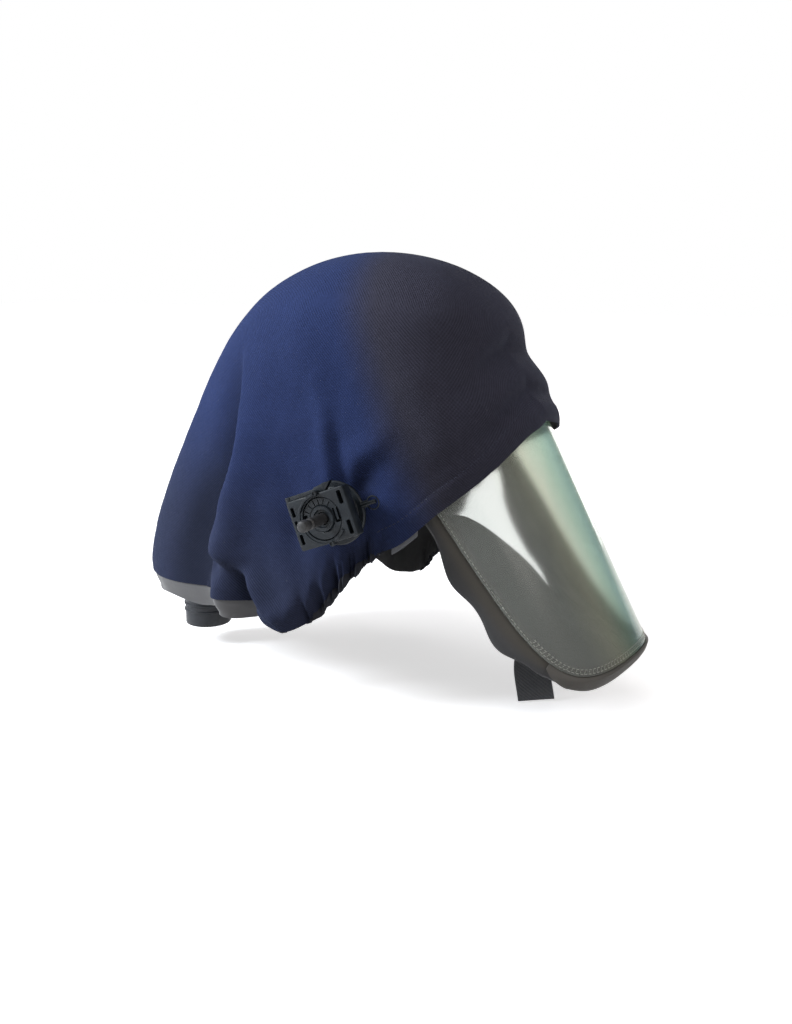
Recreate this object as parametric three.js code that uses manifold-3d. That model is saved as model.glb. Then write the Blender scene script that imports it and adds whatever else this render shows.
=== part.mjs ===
// A protective air-fed hood: a navy cloth cover over the head, a bent clear visor sewn to a grey face seal,
// a grey neck lining with an air inlet, and a pivot bracket on each side for an outer shield.
// Millimetres. +Z is up, -Y is the wearer's front and -X the wearer's right.
// The origin is on the crown's inner face, where the hood sits on the top of the head.
import * as THREE from "three";
import { mergeVertices } from "three/addons/utils/BufferGeometryUtils.js";
import Module from "manifold-3d";

const wasm = await Module();
wasm.setup();

// Driving dimensions.
const clothWall = 1.6;
const sealWall = 1.4;
const visorWall = 1.2;
const gap = 0.4;

// The cover: egg-shaped sections by depth below the crown, from the axis to the front, back and side.
const coverSections = [
  { depth: 0, front: 0, back: 0, side: 0 },
  { depth: 6, front: 42, back: 42, side: 38 },
  { depth: 14, front: 63, back: 63, side: 56 },
  { depth: 29, front: 86, back: 88, side: 78 },
  { depth: 45, front: 99, back: 105, side: 92 },
  { depth: 75, front: 108, back: 129, side: 104 },
  { depth: 114, front: 131, back: 149, side: 110 },
  { depth: 145, front: 135, back: 164, side: 112 },
  { depth: 191, front: 135, back: 187, side: 113 },
  { depth: 245, front: 135, back: 211, side: 113 },
  { depth: 300, front: 135, back: 216, side: 110 },
];
const frontPower = 2.8;
const backPower = 2.1;

// The cover's lower edge: depth by angle round from the front, on the wearer's right and left.
const coverHem = [
  { angle: 0, right: 122, left: 122 },
  { angle: 20, right: 134, left: 132 },
  { angle: 46, right: 176, left: 152 },
  { angle: 57, right: 198, left: 168 },
  { angle: 66, right: 211, left: 190 },
  { angle: 78, right: 231, left: 230 },
  { angle: 86, right: 249, left: 256 },
  { angle: 95, right: 268, left: 278 },
  { angle: 102, right: 276, left: 287 },
  { angle: 108, right: 274, left: 287 },
  { angle: 116, right: 263, left: 282 },
  { angle: 135, right: 258, left: 267 },
  { angle: 155, right: 264, left: 264 },
  { angle: 180, right: 264, left: 264 },
];

// Folds of the hanging skirt: angle at the hem (plus is the wearer's right), how far it leans round
// by the place where it starts, height in or out, half width in degrees, and the depth where it starts.
const skirtFolds = [
  { angle: 146, lean: -4, height: -15, width: 11, start: 105 },
  { angle: 127, lean: -9, height: 14, width: 6, start: 100 },
  { angle: 120, lean: 0, height: -16, width: 4.5, start: 195 },
  { angle: 113, lean: 4, height: 6, width: 5, start: 195 },
  { angle: 101, lean: 4, height: 5, width: 8, start: 190 },
  { angle: -143, lean: 5, height: -12, width: 12, start: 120 },
  { angle: -122, lean: 6, height: 12, width: 7, start: 110 },
  { angle: -112, lean: -2, height: -13, width: 6, start: 205 },
  { angle: -100, lean: -8, height: 6, width: 8, start: 190 },
];

// Level puffs of slack cloth over the brow: place down the front as a share of its depth, height in or
// out, and half height.
const browPuffs = [
  { share: 0.44, height: 3, spread: 0.08 },
  { share: 0.57, height: -3.5, spread: 0.06 },
  { share: 0.7, height: 2.5, spread: 0.07 },
  { share: 0.82, height: -4, spread: 0.055 },
  { share: 0.95, height: 3, spread: 0.08 },
];
const browPuffAngle = 30;

// Gathers where the elastic draws the ear edge in.
const earGather = { from: 68, to: 97, count: 4, height: 2.6, reach: 34, tuck: 6 };

// How closely the cover is divided round its edge: closer at the gathers and folds.
const coverDivisions = [
  { from: -180, to: -136, columns: 5 },
  { from: -136, to: -100, columns: 8 },
  { from: -100, to: -64, columns: 14 },
  { from: -64, to: 64, columns: 14 },
  { from: 64, to: 100, columns: 16 },
  { from: 100, to: 136, columns: 14 },
  { from: 136, to: 180, columns: 6 },
];

// The bent visor sheet: where its top edge is in the middle, how far it leans, its bend and its outline.
const visor = {
  topY: -126.3,
  topZ: -109.5,
  lean: 27,
  radius: 95,
  halfArc: 126,
  length: 196,
  corner: 6,
  taper: 0.25,
};

// The face seal, by share of the way from the temple to the chin: the strip outside the visor's edge,
// and where its slack inner edge lies on the bend, along, down and in, on each side.
const sealStrip = [
  { share: 0, width: 7 },
  { share: 0.16, width: 13 },
  { share: 0.33, width: 19 },
  { share: 0.5, width: 18 },
  { share: 0.66, width: 10 },
  { share: 0.86, width: 5 },
  { share: 1, width: 4 },
];
const sealEdgeRight = [
  { share: 0, arc: 121, down: 5, inset: 9 },
  { share: 0.16, arc: 117, down: 41, inset: 9 },
  { share: 0.33, arc: 99, down: 55, inset: 19 },
  { share: 0.5, arc: 75, down: 78, inset: 32 },
  { share: 0.66, arc: 52, down: 100, inset: 38 },
  { share: 0.86, arc: 20, down: 131, inset: 45 },
  { share: 1, arc: 0, down: 144, inset: 52 },
];
const sealEdgeLeft = [
  { share: 0, arc: 121, down: 5, inset: 9 },
  { share: 0.16, arc: 132, down: 40, inset: 16 },
  { share: 0.33, arc: 128, down: 60, inset: 31 },
  { share: 0.5, arc: 116, down: 83, inset: 42 },
  { share: 0.66, arc: 92, down: 106, inset: 49 },
  { share: 0.86, arc: 36, down: 131, inset: 53 },
  { share: 1, arc: 0, down: 144, inset: 52 },
];
const seamMargin = 5;
const bandEnds = [0.33, 0.67];

// The chin tab, a strip sewn to the seal's inner edge: middle line and turn of its width.
const tabWidth = 29;
const tabRows = [
  { share: 0, x: 0, y: -138.6, z: -262, turn: 0 },
  { share: 0.35, x: -3, y: -135.5, z: -284, turn: -20 },
  { share: 0.65, x: -7, y: -132, z: -306, turn: -45 },
  { share: 1, x: -8, y: -137, z: -338, turn: -55 },
];

// The lining under the back of the cover, with a floor that carries the air inlet.
const lining = { drop: 14, turnIn: 5, floor: 69, floorSpread: 15 };
const inlet = {
  y: 176,
  top: -246,
  bottom: -322,
  radius: 20,
  bore: 16.5,
  flange: 25,
  flangeTop: -271,
  flangeWall: 2.4,
};

// The pivot bracket: its seat on the cover, the tilt of its plate and its depths out from the seat.
const bracket = {
  angle: 79,
  depth: 179.6,
  tilt: 20.7,
  plateLong: 48,
  plateTall: 36,
  plateRear: 14.5,
  plateFace: 23.5,
};
const dialRadius = 15.2;
const studRadius = 4;
const studEnd = 51;

const radians = THREE.MathUtils.degToRad;
const smooth = (x, low, high) => THREE.MathUtils.smoothstep(x, low, high);
const bell = (x) => Math.exp(-x * x);

// A smooth curve through one column of a table, read at a value of its key column.
function readTable(rows, key, column, value, scale = (x) => x) {
  const x = (row) => scale(row[key]);
  const at = scale(value);
  let i = rows.findIndex((row) => x(row) > at) - 1;
  if (i === -2) i = rows.length - 2;
  i = THREE.MathUtils.clamp(i, 0, rows.length - 2);
  const [a, b] = [rows[i], rows[i + 1]];
  const slope = (j) => {
    const [low, high] = [rows[Math.max(j - 1, 0)], rows[Math.min(j + 1, rows.length - 1)]];
    return (high[column] - low[column]) / (x(high) - x(low));
  };
  const span = x(b) - x(a);
  const t = THREE.MathUtils.clamp((at - x(a)) / span, 0, 1);
  const [t2, t3] = [t * t, t * t * t];
  return (2 * t3 - 3 * t2 + 1) * a[column] + (t3 - 2 * t2 + t) * span * slope(i)
    + (3 * t2 - 2 * t3) * b[column] + (t3 - t2) * span * slope(i + 1);
}

// A closed wall built from a surface point(u, v), with u and v from 0 to 1, thickened behind its face.
// Columns are spread evenly unless their places are given.
function wallOf({ point, columns, rows, thickness, around, pole, place = (i) => i / columns }) {
  const step = 1e-4;
  const normalAt = (u, v) => {
    if (pole && v < step) return new THREE.Vector3(0, 0, 1);
    const [v0, v1] = [Math.max(v - step, 0), Math.min(v + step, 1)];
    const [u0, u1] = around ? [u - step, u + step] : [Math.max(u - step, 0), Math.min(u + step, 1)];
    const alongU = point(u1, v).sub(point(u0, v));
    const alongV = point(u, v1).sub(point(u, v0));
    return alongU.cross(alongV).normalize();
  };
  const positions = [];
  const addLayer = (depth) => {
    const grid = [];
    for (let j = 0; j <= rows; j++) {
      const row = [];
      for (let i = 0; i < (around ? columns : columns + 1); i++) {
        if (pole && j === 0 && i > 0) {
          row.push(row[0]);
          continue;
        }
        const [u, v] = [place(i), j / rows];
        const p = point(u, v).addScaledVector(normalAt(u, v), -depth);
        row.push(positions.length / 3);
        positions.push(p.x, p.y, p.z);
      }
      if (around) row.push(row[0]);
      grid.push(row);
    }
    return grid;
  };
  const [face, back] = [addLayer(0), addLayer(thickness)];
  const triangles = [];
  const quad = (a, b, c, d) => {
    for (const t of [[a, b, c], [a, c, d]]) if (new Set(t).size === 3) triangles.push(...t);
  };
  for (let j = 0; j < rows; j++) {
    for (let i = 0; i < columns; i++) {
      quad(face[j][i], face[j + 1][i], face[j + 1][i + 1], face[j][i + 1]);
      quad(back[j][i], back[j][i + 1], back[j + 1][i + 1], back[j + 1][i]);
    }
  }
  for (let i = 0; i < columns; i++) {
    quad(face[rows][i], back[rows][i], back[rows][i + 1], face[rows][i + 1]);
    if (!pole) quad(face[0][i], face[0][i + 1], back[0][i + 1], back[0][i]);
  }
  if (!around) {
    for (let j = 0; j < rows; j++) {
      quad(face[j][0], back[j][0], back[j + 1][0], face[j + 1][0]);
      quad(face[j][columns], face[j + 1][columns], back[j + 1][columns], back[j][columns]);
    }
  }
  return facingOut(positions, triangles);
}

// A geometry from positions and triangles, turned so that its faces point outwards.
function facingOut(positions, triangles) {
  const geometry = new THREE.BufferGeometry();
  geometry.setAttribute("position", new THREE.Float32BufferAttribute(positions, 3));
  const corner = (k) => new THREE.Vector3().fromArray(positions, 3 * triangles[k]);
  let volume = 0;
  for (let k = 0; k < triangles.length; k += 3) {
    volume += corner(k).dot(corner(k + 1).cross(corner(k + 2)));
  }
  if (volume < 0) triangles.reverse();
  geometry.setIndex(triangles);
  geometry.computeVertexNormals();
  return geometry;
}

// Boolean joins and cuts.
function solidOf(geometry) {
  const bare = geometry.clone();
  for (const name of Object.keys(bare.attributes)) if (name !== "position") bare.deleteAttribute(name);
  const merged = mergeVertices(bare, 1e-3);
  return new wasm.Manifold(new wasm.Mesh({
    numProp: 3,
    vertProperties: merged.attributes.position.array,
    triVerts: new Uint32Array(merged.index.array),
  }));
}
function geometryOf(solid) {
  const mesh = solid.getMesh();
  const geometry = new THREE.BufferGeometry();
  geometry.setAttribute("position", new THREE.Float32BufferAttribute(mesh.vertProperties, 3));
  geometry.setIndex(Array.from(mesh.triVerts));
  geometry.computeVertexNormals();
  return geometry;
}
const join = (...geometries) => geometryOf(geometries.map(solidOf).reduce((a, b) => a.add(b)));
const cut = (geometry, tool) => geometryOf(solidOf(geometry).subtract(solidOf(tool)));

// The cover's outer face at an angle round from the front and a depth below the crown.
const turned = (angle) => ((angle + 540) % 360) - 180;
function hemDepth(angle) {
  const round = turned(angle);
  return readTable(coverHem, "angle", round >= 0 ? "right" : "left", Math.abs(round));
}
function coverReach(angle, depth) {
  const round = turned(angle);
  const read = (column) => readTable(coverSections, "depth", column, depth, Math.sqrt);
  const theta = radians(round);
  const inFront = Math.cos(theta) > 0;
  const power = inFront ? frontPower : backPower;
  const share = (Math.abs(Math.cos(theta)) / read(inFront ? "front" : "back")) ** power
    + (Math.abs(Math.sin(theta)) / read("side")) ** power;
  let reach = depth > 0 ? share ** (-1 / power) : 0;
  const hem = hemDepth(round);
  for (const fold of skirtFolds) {
    const grown = smooth(depth, fold.start, hem + 20);
    const off = turned(round - fold.angle - fold.lean * (1 - grown));
    reach += fold.height * grown * bell(off / fold.width);
  }
  for (const puff of browPuffs) {
    reach += puff.height * bell(round / browPuffAngle) * bell((depth / hem - puff.share) / puff.spread);
  }
  const side = Math.abs(round);
  const inGather = smooth(side, earGather.from - 8, earGather.from + 4)
    * (1 - smooth(side, earGather.to, earGather.to + 14));
  const nearHem = smooth(depth, hem - earGather.reach, hem);
  const pitch = (earGather.to - earGather.from) / earGather.count;
  const wave = Math.cos((2 * Math.PI * (side - earGather.from)) / pitch);
  return reach + inGather * nearHem * (earGather.height * wave - earGather.tuck * nearHem);
}
function coverPoint(angle, depth, inset = 0) {
  const reach = coverReach(angle, depth) - inset;
  const theta = radians(angle);
  return new THREE.Vector3(-Math.sin(theta) * reach, -Math.cos(theta) * reach, clothWall - depth);
}
const coverAngles = coverDivisions.flatMap(({ from, to, columns }) =>
  Array.from({ length: columns }, (_, i) => from + ((to - from) * i) / columns));
function makeCover() {
  const wall = wallOf({
    point: (u, v) => {
      const angle = 360 * u - 180;
      return coverPoint(angle, hemDepth(angle) * v ** 1.3);
    },
    columns: coverAngles.length,
    place: (i) => (coverAngles[i] + 180) / 360,
    rows: 14,
    thickness: clothWall,
    around: true,
    pole: true,
  });
  const hole = new THREE.CylinderGeometry(4.6, 4.6, 400, 20).rotateZ(Math.PI / 2);
  return cut(wall, hole.translate(0, seat.y, seat.z));
}

// The visor, by its place on the bend: along its arc, down its length and in from its outer face.
const visorDown = new THREE.Vector3(0, -Math.sin(radians(visor.lean)), -Math.cos(radians(visor.lean)));
const visorOut = new THREE.Vector3(0, -Math.cos(radians(visor.lean)), Math.sin(radians(visor.lean)));
function onVisor(arc, down, inset = 0) {
  const turn = arc / visor.radius;
  const radius = visor.radius - inset;
  return new THREE.Vector3(-radius * Math.sin(turn), visor.topY, visor.topZ)
    .addScaledVector(visorDown, down)
    .addScaledVector(visorOut, radius * Math.cos(turn) - visor.radius);
}
// A flat place inside the outline, from a square grid of x -1 to 1 and y 0 to 1.
function inOutline(x, y) {
  const size = Math.max(Math.abs(x), y);
  if (size === 0) return { arc: 0, down: 0 };
  const round = ((Math.abs(x) / size) ** visor.corner + (y / size) ** visor.corner) ** (-1 / visor.corner);
  return { arc: visor.halfArc * x * round * (1 - visor.taper * y * round), down: visor.length * y * round };
}
// The outline itself, from the right temple (0) round the chin (a half) to the left temple (1).
function onOutline(way) {
  if (way < 1 / 3) return inOutline(1, 3 * way);
  if (way > 2 / 3) return inOutline(-1, 3 - 3 * way);
  return inOutline(3 - 6 * way, 1);
}
function besideOutline(way, offset, inset) {
  const step = 2e-3;
  const [p, q] = [onOutline(Math.max(way - step, 0)), onOutline(Math.min(way + step, 1))];
  const along = new THREE.Vector2(q.arc - p.arc, q.down - p.down).normalize();
  const here = onOutline(way);
  return onVisor(here.arc + along.y * offset, here.down - along.x * offset, inset);
}
function makeVisor() {
  return wallOf({
    point: (u, v) => {
      const { arc, down } = inOutline(1 - 2 * u, v);
      return onVisor(arc, down);
    },
    columns: 18,
    rows: 8,
    thickness: visorWall,
  });
}

// The face seal: from behind the visor's margin out past its edge, round, and in to the face opening.
function sealAt(way) {
  const share = 1 - Math.abs(2 * way - 1);
  const side = way <= 0.5 ? 1 : -1;
  const edge = side > 0 ? sealEdgeRight : sealEdgeLeft;
  const read = (column) => readTable(edge, "share", column, share);
  const opening = onVisor(side * read("arc"), read("down"), read("inset"));
  return { strip: readTable(sealStrip, "share", "width", share), opening };
}
function sealLine(way) {
  const { strip, opening } = sealAt(way);
  const behind = visorWall + 1;
  const middle = besideOutline(way, 0, 17).lerp(opening, 0.45);
  return new THREE.CatmullRomCurve3([
    besideOutline(way, -seamMargin, behind),
    besideOutline(way, strip * 0.5, behind),
    besideOutline(way, strip, 6),
    besideOutline(way, strip * 0.6, 14),
    middle,
    opening,
  ], false, "centripetal");
}
function makeSeal() {
  return wallOf({
    point: (u, v) => sealLine(0.02 + 0.96 * u).getPoint(v),
    columns: 24,
    rows: 8,
    thickness: sealWall,
  });
}
// The band folded over the seal's lower edge.
function makeBand() {
  return wallOf({
    point: (u, v) => {
      const way = THREE.MathUtils.lerp(bandEnds[0], bandEnds[1], u);
      const { strip } = sealAt(way);
      return new THREE.CatmullRomCurve3([
        besideOutline(way, 0.5, -1),
        besideOutline(way, strip * 0.6, -1),
        besideOutline(way, strip + 3.1, 5),
        besideOutline(way, strip * 0.6 + 3, 17),
      ], false, "centripetal").getPoint(v);
    },
    columns: 16,
    rows: 4,
    thickness: 1.3,
  });
}
function makeTab() {
  return wallOf({
    point: (u, v) => {
      const read = (column) => readTable(tabRows, "share", column, v);
      const turn = radians(read("turn"));
      const off = tabWidth * (u - 0.5);
      const [x, y] = [read("x") + off * Math.cos(turn), read("y") + off * Math.sin(turn)];
      return new THREE.Vector3(x, y, read("z"));
    },
    columns: 3,
    rows: 8,
    thickness: 1.6,
  });
}

// The lining: from just below the back hem, round a turned lower edge to the floor with the inlet's hole.
function makeLining() {
  const angles = coverAngles.filter((angle) => Math.abs(angle) >= 105).map((angle) => (angle + 360) % 360);
  angles.sort((a, b) => a - b);
  const [from, to] = [angles[0], angles[angles.length - 1]];
  const wall = wallOf({
    point: (u, v) => {
      const angle = THREE.MathUtils.lerp(from, to, u);
      const start = hemDepth(angle) + 2 * gap;
      const ends = smooth(u, 0, 0.2) * (1 - smooth(u, 0.8, 1));
      const drop = 3 + lining.drop * ends;
      const inward = 5 + lining.turnIn * ends + lining.floor * bell((angle - 180) / lining.floorSpread);
      const rows = [
        { at: 0, depth: start, inset: 0.3 },
        { at: 0.25, depth: start + 0.5 * drop, inset: 0.8 },
        { at: 0.5, depth: start + drop, inset: 4 },
        { at: 1, depth: start + drop + 0.6, inset: 4 + inward },
      ];
      return coverPoint(angle, readTable(rows, "at", "depth", v), readTable(rows, "at", "inset", v));
    },
    columns: angles.length - 1,
    place: (i) => (angles[i] - from) / (to - from),
    rows: 5,
    thickness: 1.2,
  });
  const radius = inlet.radius + gap;
  const hole = new THREE.CylinderGeometry(radius, radius, 60, 20).rotateX(Math.PI / 2);
  return cut(wall, hole.translate(0, inlet.y, -280));
}
function makeInlet() {
  const { top, bottom, radius, bore, flange, flangeTop, flangeWall } = inlet;
  const profile = [
    [bore, bottom], [radius, bottom], [radius, flangeTop - flangeWall], [flange, flangeTop - flangeWall],
    [flange, flangeTop], [radius, flangeTop], [radius - 1, top], [bore, top], [bore, bottom],
  ].map(([r, z]) => new THREE.Vector2(r, z));
  return new THREE.LatheGeometry(profile, 18).rotateX(Math.PI / 2).translate(0, inlet.y, 0);
}

// The elastic edging below the ear edge, drawn up into small lumps. Side is 1 on the right, -1 on the left.
function makeElastic(side) {
  const [from, to] = [earGather.from - 4, earGather.to + 4];
  return rodOf({
    columns: 20,
    sides: 6,
    point: (u, turn) => {
      const angle = side * THREE.MathUtils.lerp(from, to, u);
      const thick = 1.9 + 0.5 * Math.cos(2 * Math.PI * earGather.count * 1.5 * u);
      const depth = hemDepth(angle) + gap + 3.6 + 2.1 * Math.sin(turn);
      return coverPoint(angle, depth, 0.8 - thick * Math.cos(turn));
    },
  });
}
// A closed rod from a point(u, turn) round its middle line, with flat ends.
function rodOf({ point, columns, sides }) {
  const positions = [];
  const triangles = [];
  const middles = [0, 1].map((u) => {
    const sum = new THREE.Vector3();
    for (let k = 0; k < sides; k++) sum.addScaledVector(point(u, (2 * Math.PI * k) / sides), 1 / sides);
    return sum;
  });
  for (let i = 0; i <= columns; i++) {
    for (let k = 0; k < sides; k++) {
      positions.push(...point(i / columns, (2 * Math.PI * k) / sides).toArray());
    }
  }
  const first = positions.length / 3;
  positions.push(...middles[0].toArray(), ...middles[1].toArray());
  for (let k = 0; k < sides; k++) {
    const next = (k + 1) % sides;
    for (let i = 0; i < columns; i++) {
      const [a, b, c, d] = [i * sides + k, i * sides + next, (i + 1) * sides + next, (i + 1) * sides + k];
      triangles.push(a, b, c, a, c, d);
    }
    triangles.push(first, next, k, first + 1, columns * sides + k, columns * sides + next);
  }
  return facingOut(positions, triangles);
}

// The small clip inside the hem in front of the ear.
function makeClip(side) {
  return wallOf({
    point: (u, v) => {
      const angle = side * THREE.MathUtils.lerp(52, 61, side > 0 ? u : 1 - u);
      return coverPoint(angle, hemDepth(angle) - 7 + 12 * v, clothWall + gap + 1.8);
    },
    columns: 5,
    rows: 3,
    thickness: 2.4,
  });
}

// The bracket in its own frame: x forward along the plate, y up along it, z out from the cover.
const seat = coverPoint(bracket.angle, bracket.depth);
const seatOut = Math.abs(seat.x) + 1.2;
function lathed(pairs, segments) {
  const profile = pairs.map(([r, z]) => new THREE.Vector2(r, z));
  return new THREE.LatheGeometry(profile, segments).rotateX(Math.PI / 2);
}
function extruded(shape, from, to, segments) {
  const options = { depth: to - from, bevelEnabled: false, curveSegments: segments };
  return new THREE.ExtrudeGeometry(shape, options).translate(0, 0, from);
}
// A box outline with its corners cut off.
function cutBox(width, height, corner, x = 0, y = 0) {
  const [w, h] = [width / 2, height / 2];
  const corners = [
    [w, h - corner], [w - corner, h], [corner - w, h], [-w, h - corner],
    [-w, corner - h], [corner - w, -h], [w - corner, -h], [w, corner - h],
  ];
  return corners.map(([px, py]) => new THREE.Vector2(x + px, y + py));
}
function makeBase() {
  const top = bracket.plateRear - gap;
  const profile = [[0, 0], [21.5, 0], [23, 1.2], [23, 4.2], [19, 3.4], [17.4, 4], [17.4, top], [0, top]];
  const dish = lathed(profile, 16);
  const lug = new THREE.BoxGeometry(6, 7, 5).translate(24, 1, 3.2);
  const rod = new THREE.CylinderGeometry(1.3, 1.3, 8, 8).rotateZ(Math.PI / 2).translate(30, 1, 4);
  const eye = new THREE.TorusGeometry(3, 1, 5, 9).translate(36, 1, 4);
  return join(dish, lug, rod, eye);
}
const plateSlots = [
  { x: -20.6, y: 10, tall: 6.5 },
  { x: -20.6, y: 0, tall: 6.5 },
  { x: -20.6, y: -10, tall: 6.5 },
  { x: 20.6, y: 8, tall: 9 },
  { x: 20.6, y: -8, tall: 9 },
];
const springArms = [
  { turn: 96, from: 140, to: 96 },
  { turn: 264, from: 320, to: 264 },
];
function makeHousing() {
  const outline = new THREE.Shape(cutBox(bracket.plateLong, bracket.plateTall, 2));
  outline.holes.push(new THREE.Path().absarc(0, 0, dialRadius + gap, 0, 2 * Math.PI, true));
  for (const { x, y, tall } of plateSlots) outline.holes.push(new THREE.Path(cutBox(3.2, tall, 0.8, x, y)));
  const pieces = [extruded(outline, bracket.plateRear, bracket.plateFace, 10)];
  for (const { turn, from, to } of springArms) {
    const arm = new THREE.Shape();
    const [low, high] = [Math.min(from, to), Math.max(from, to)];
    arm.absarc(0, 0, 18.2, radians(low), radians(high));
    arm.absarc(0, 0, 16.6, radians(high), radians(low), true);
    pieces.push(extruded(arm, bracket.plateFace - 1, bracket.plateFace + 1, 4));
    const pin = new THREE.CylinderGeometry(2, 2, 4, 8).rotateX(Math.PI / 2);
    pieces.push(pin.translate(17.4, 0, bracket.plateFace - 0.4).rotateZ(radians(turn)));
  }
  const corners = [[-12, 17], [2, 17], [8.5, 21.5], [1, 20.4], [-12, 20]];
  const latch = new THREE.Shape(corners.map(([x, y]) => new THREE.Vector2(x, y)));
  pieces.push(extruded(latch, bracket.plateFace - 6, bracket.plateFace - 2, 1));
  return join(...pieces);
}
function makeDial() {
  const [rear, face] = [bracket.plateRear, bracket.plateFace - 1.4];
  const disc = new THREE.Shape().absarc(0, 0, dialRadius, 0, 2 * Math.PI);
  disc.holes.push(new THREE.Path().absarc(0, 0, studRadius + gap, 0, 2 * Math.PI, true));
  disc.holes.push(new THREE.Path(cutBox(3.4, 8, 1.2, 10.4, 0)));
  const ring = new THREE.Shape().absarc(0, 0, 8, 0, 2 * Math.PI);
  ring.holes.push(new THREE.Path().absarc(0, 0, studRadius + gap, 0, 2 * Math.PI, true));
  const pieces = [extruded(disc, rear, face, 10), extruded(ring, face - 1, face + 1, 7)];
  for (let turn = 50; turn <= 190; turn += 28) {
    pieces.push(new THREE.BoxGeometry(4.4, 0.9, 1.4).translate(11.6, 0, face).rotateZ(radians(turn)));
  }
  return join(...pieces);
}
function makeStud() {
  const [rear, neck] = [bracket.plateRear, studEnd - 7];
  const profile = [
    [0, rear], [studRadius, rear], [studRadius, neck - 1], [studRadius - 0.8, neck],
    [studRadius + 0.3, neck + 1], [studRadius + 0.5, neck + 4.5], [2.6, studEnd], [0, studEnd],
  ];
  return lathed(profile, 12);
}
function makeBacking() {
  return lathed([[0, -7], [14, -7], [14, -4.8], [4.2, -4.8], [4.2, -gap], [0, -gap]], 16);
}

const material = (color, roughness) => new THREE.MeshStandardMaterial({ color, roughness });
const finish = {
  navy: () => material(0x2c3a6b, 0.9),
  clear: () => material(0xc9d6cc, 0.1),
  grey: () => material(0x6f6a62, 0.85),
  elastic: () => material(0x33343a, 0.9),
  plastic: () => material(0x3a4048, 0.55),
  pale: () => material(0x77787a, 0.6),
};
const hood = new THREE.Group();
function add(name, geometry, look, parent = hood) {
  const mesh = new THREE.Mesh(geometry, finish[look]());
  mesh.name = name;
  parent.add(mesh);
}
add("cover", makeCover(), "navy");
add("neck_lining", makeLining(), "grey");
add("air_inlet", makeInlet(), "plastic");
add("visor", makeVisor(), "clear");
add("face_seal", makeSeal(), "grey");
add("chin_band", makeBand(), "grey");
add("chin_tab", makeTab(), "navy");
for (const { name, side } of [{ name: "right", side: 1 }, { name: "left", side: -1 }]) {
  add(`ear_elastic_${name}`, makeElastic(side), "elastic");
  add(`hem_clip_${name}`, makeClip(side), "pale");
  const holder = new THREE.Group();
  const tilted = new THREE.Group();
  tilted.position.set(-seatOut, seat.y, seat.z);
  const forward = new THREE.Vector3(0, -Math.cos(radians(bracket.tilt)), Math.sin(radians(bracket.tilt)));
  const upward = new THREE.Vector3(0, Math.sin(radians(bracket.tilt)), Math.cos(radians(bracket.tilt)));
  tilted.setRotationFromMatrix(new THREE.Matrix4().makeBasis(forward, upward, new THREE.Vector3(-1, 0, 0)));
  holder.scale.x = side;
  holder.add(tilted);
  hood.add(holder);
  add(`bracket_base_${name}`, makeBase(), "plastic", tilted);
  add(`bracket_housing_${name}`, makeHousing(), "plastic", tilted);
  add(`bracket_dial_${name}`, makeDial(), "plastic", tilted);
  add(`bracket_stud_${name}`, makeStud(), "pale", tilted);
  add(`bracket_backing_${name}`, makeBacking(), "plastic", tilted);
}

export default hood;
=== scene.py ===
import math
import random

import bpy
import numpy as np
from mathutils import Euler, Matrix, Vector


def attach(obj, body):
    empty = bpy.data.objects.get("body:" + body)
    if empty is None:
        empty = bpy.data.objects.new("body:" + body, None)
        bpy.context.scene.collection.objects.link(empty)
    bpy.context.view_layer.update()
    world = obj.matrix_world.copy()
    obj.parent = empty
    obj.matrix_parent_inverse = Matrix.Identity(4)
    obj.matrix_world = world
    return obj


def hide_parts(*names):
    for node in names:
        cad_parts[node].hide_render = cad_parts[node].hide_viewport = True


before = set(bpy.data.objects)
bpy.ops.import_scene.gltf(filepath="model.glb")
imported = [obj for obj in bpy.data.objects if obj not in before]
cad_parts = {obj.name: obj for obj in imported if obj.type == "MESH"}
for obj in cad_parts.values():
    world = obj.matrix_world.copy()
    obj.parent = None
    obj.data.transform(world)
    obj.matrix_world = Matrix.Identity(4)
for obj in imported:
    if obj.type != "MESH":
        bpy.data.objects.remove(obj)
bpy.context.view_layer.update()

mm = 0.001
tiny = 1e-9
seamGap = 0.02 * mm


# picking and finishing
def deselectAll():
    if bpy.context.object and bpy.context.object.mode != "OBJECT":
        bpy.ops.object.mode_set(mode="OBJECT")
    bpy.ops.object.select_all(action="DESELECT")


def pick(piece):
    deselectAll()
    piece.select_set(True)
    bpy.context.view_layer.objects.active = piece


def added(add, **settings):
    deselectAll()
    add(**settings)
    return bpy.context.object


def applyModifier(piece, kind, **settings):
    pick(piece)
    modifier = piece.modifiers.new(kind.lower(), kind)
    for key, value in settings.items():
        setattr(modifier, key, value)
    bpy.ops.object.modifier_apply(modifier=modifier.name)


def editAll(piece):
    pick(piece)
    bpy.ops.object.mode_set(mode="EDIT")
    bpy.ops.mesh.select_all(action="SELECT")


def endFacingOut():
    bpy.ops.mesh.select_all(action="SELECT")
    bpy.ops.mesh.normals_make_consistent(inside=False)
    bpy.ops.object.mode_set(mode="OBJECT")


def closeSeams(piece):
    editAll(piece)
    bpy.ops.mesh.remove_doubles(threshold=seamGap)
    endFacingOut()


def shadeSmooth(piece, angle):
    pick(piece)
    bpy.ops.object.shade_smooth_by_angle(angle=math.radians(angle))


def pointsOf(piece):
    flat = np.zeros(len(piece.data.vertices) * 3, np.float32)
    piece.data.vertices.foreach_get("co", flat)
    return flat.reshape(-1, 3).astype(float)


def movePoints(piece, points):
    piece.data.vertices.foreach_set("co", points.astype(np.float32).ravel())
    piece.data.update()


def finishPiece(piece, material, body="hood", node=None):
    if material:
        piece.data.materials.clear()
        piece.data.materials.append(material)
    if node:
        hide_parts(node)
    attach(piece, body)
    return piece


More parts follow.
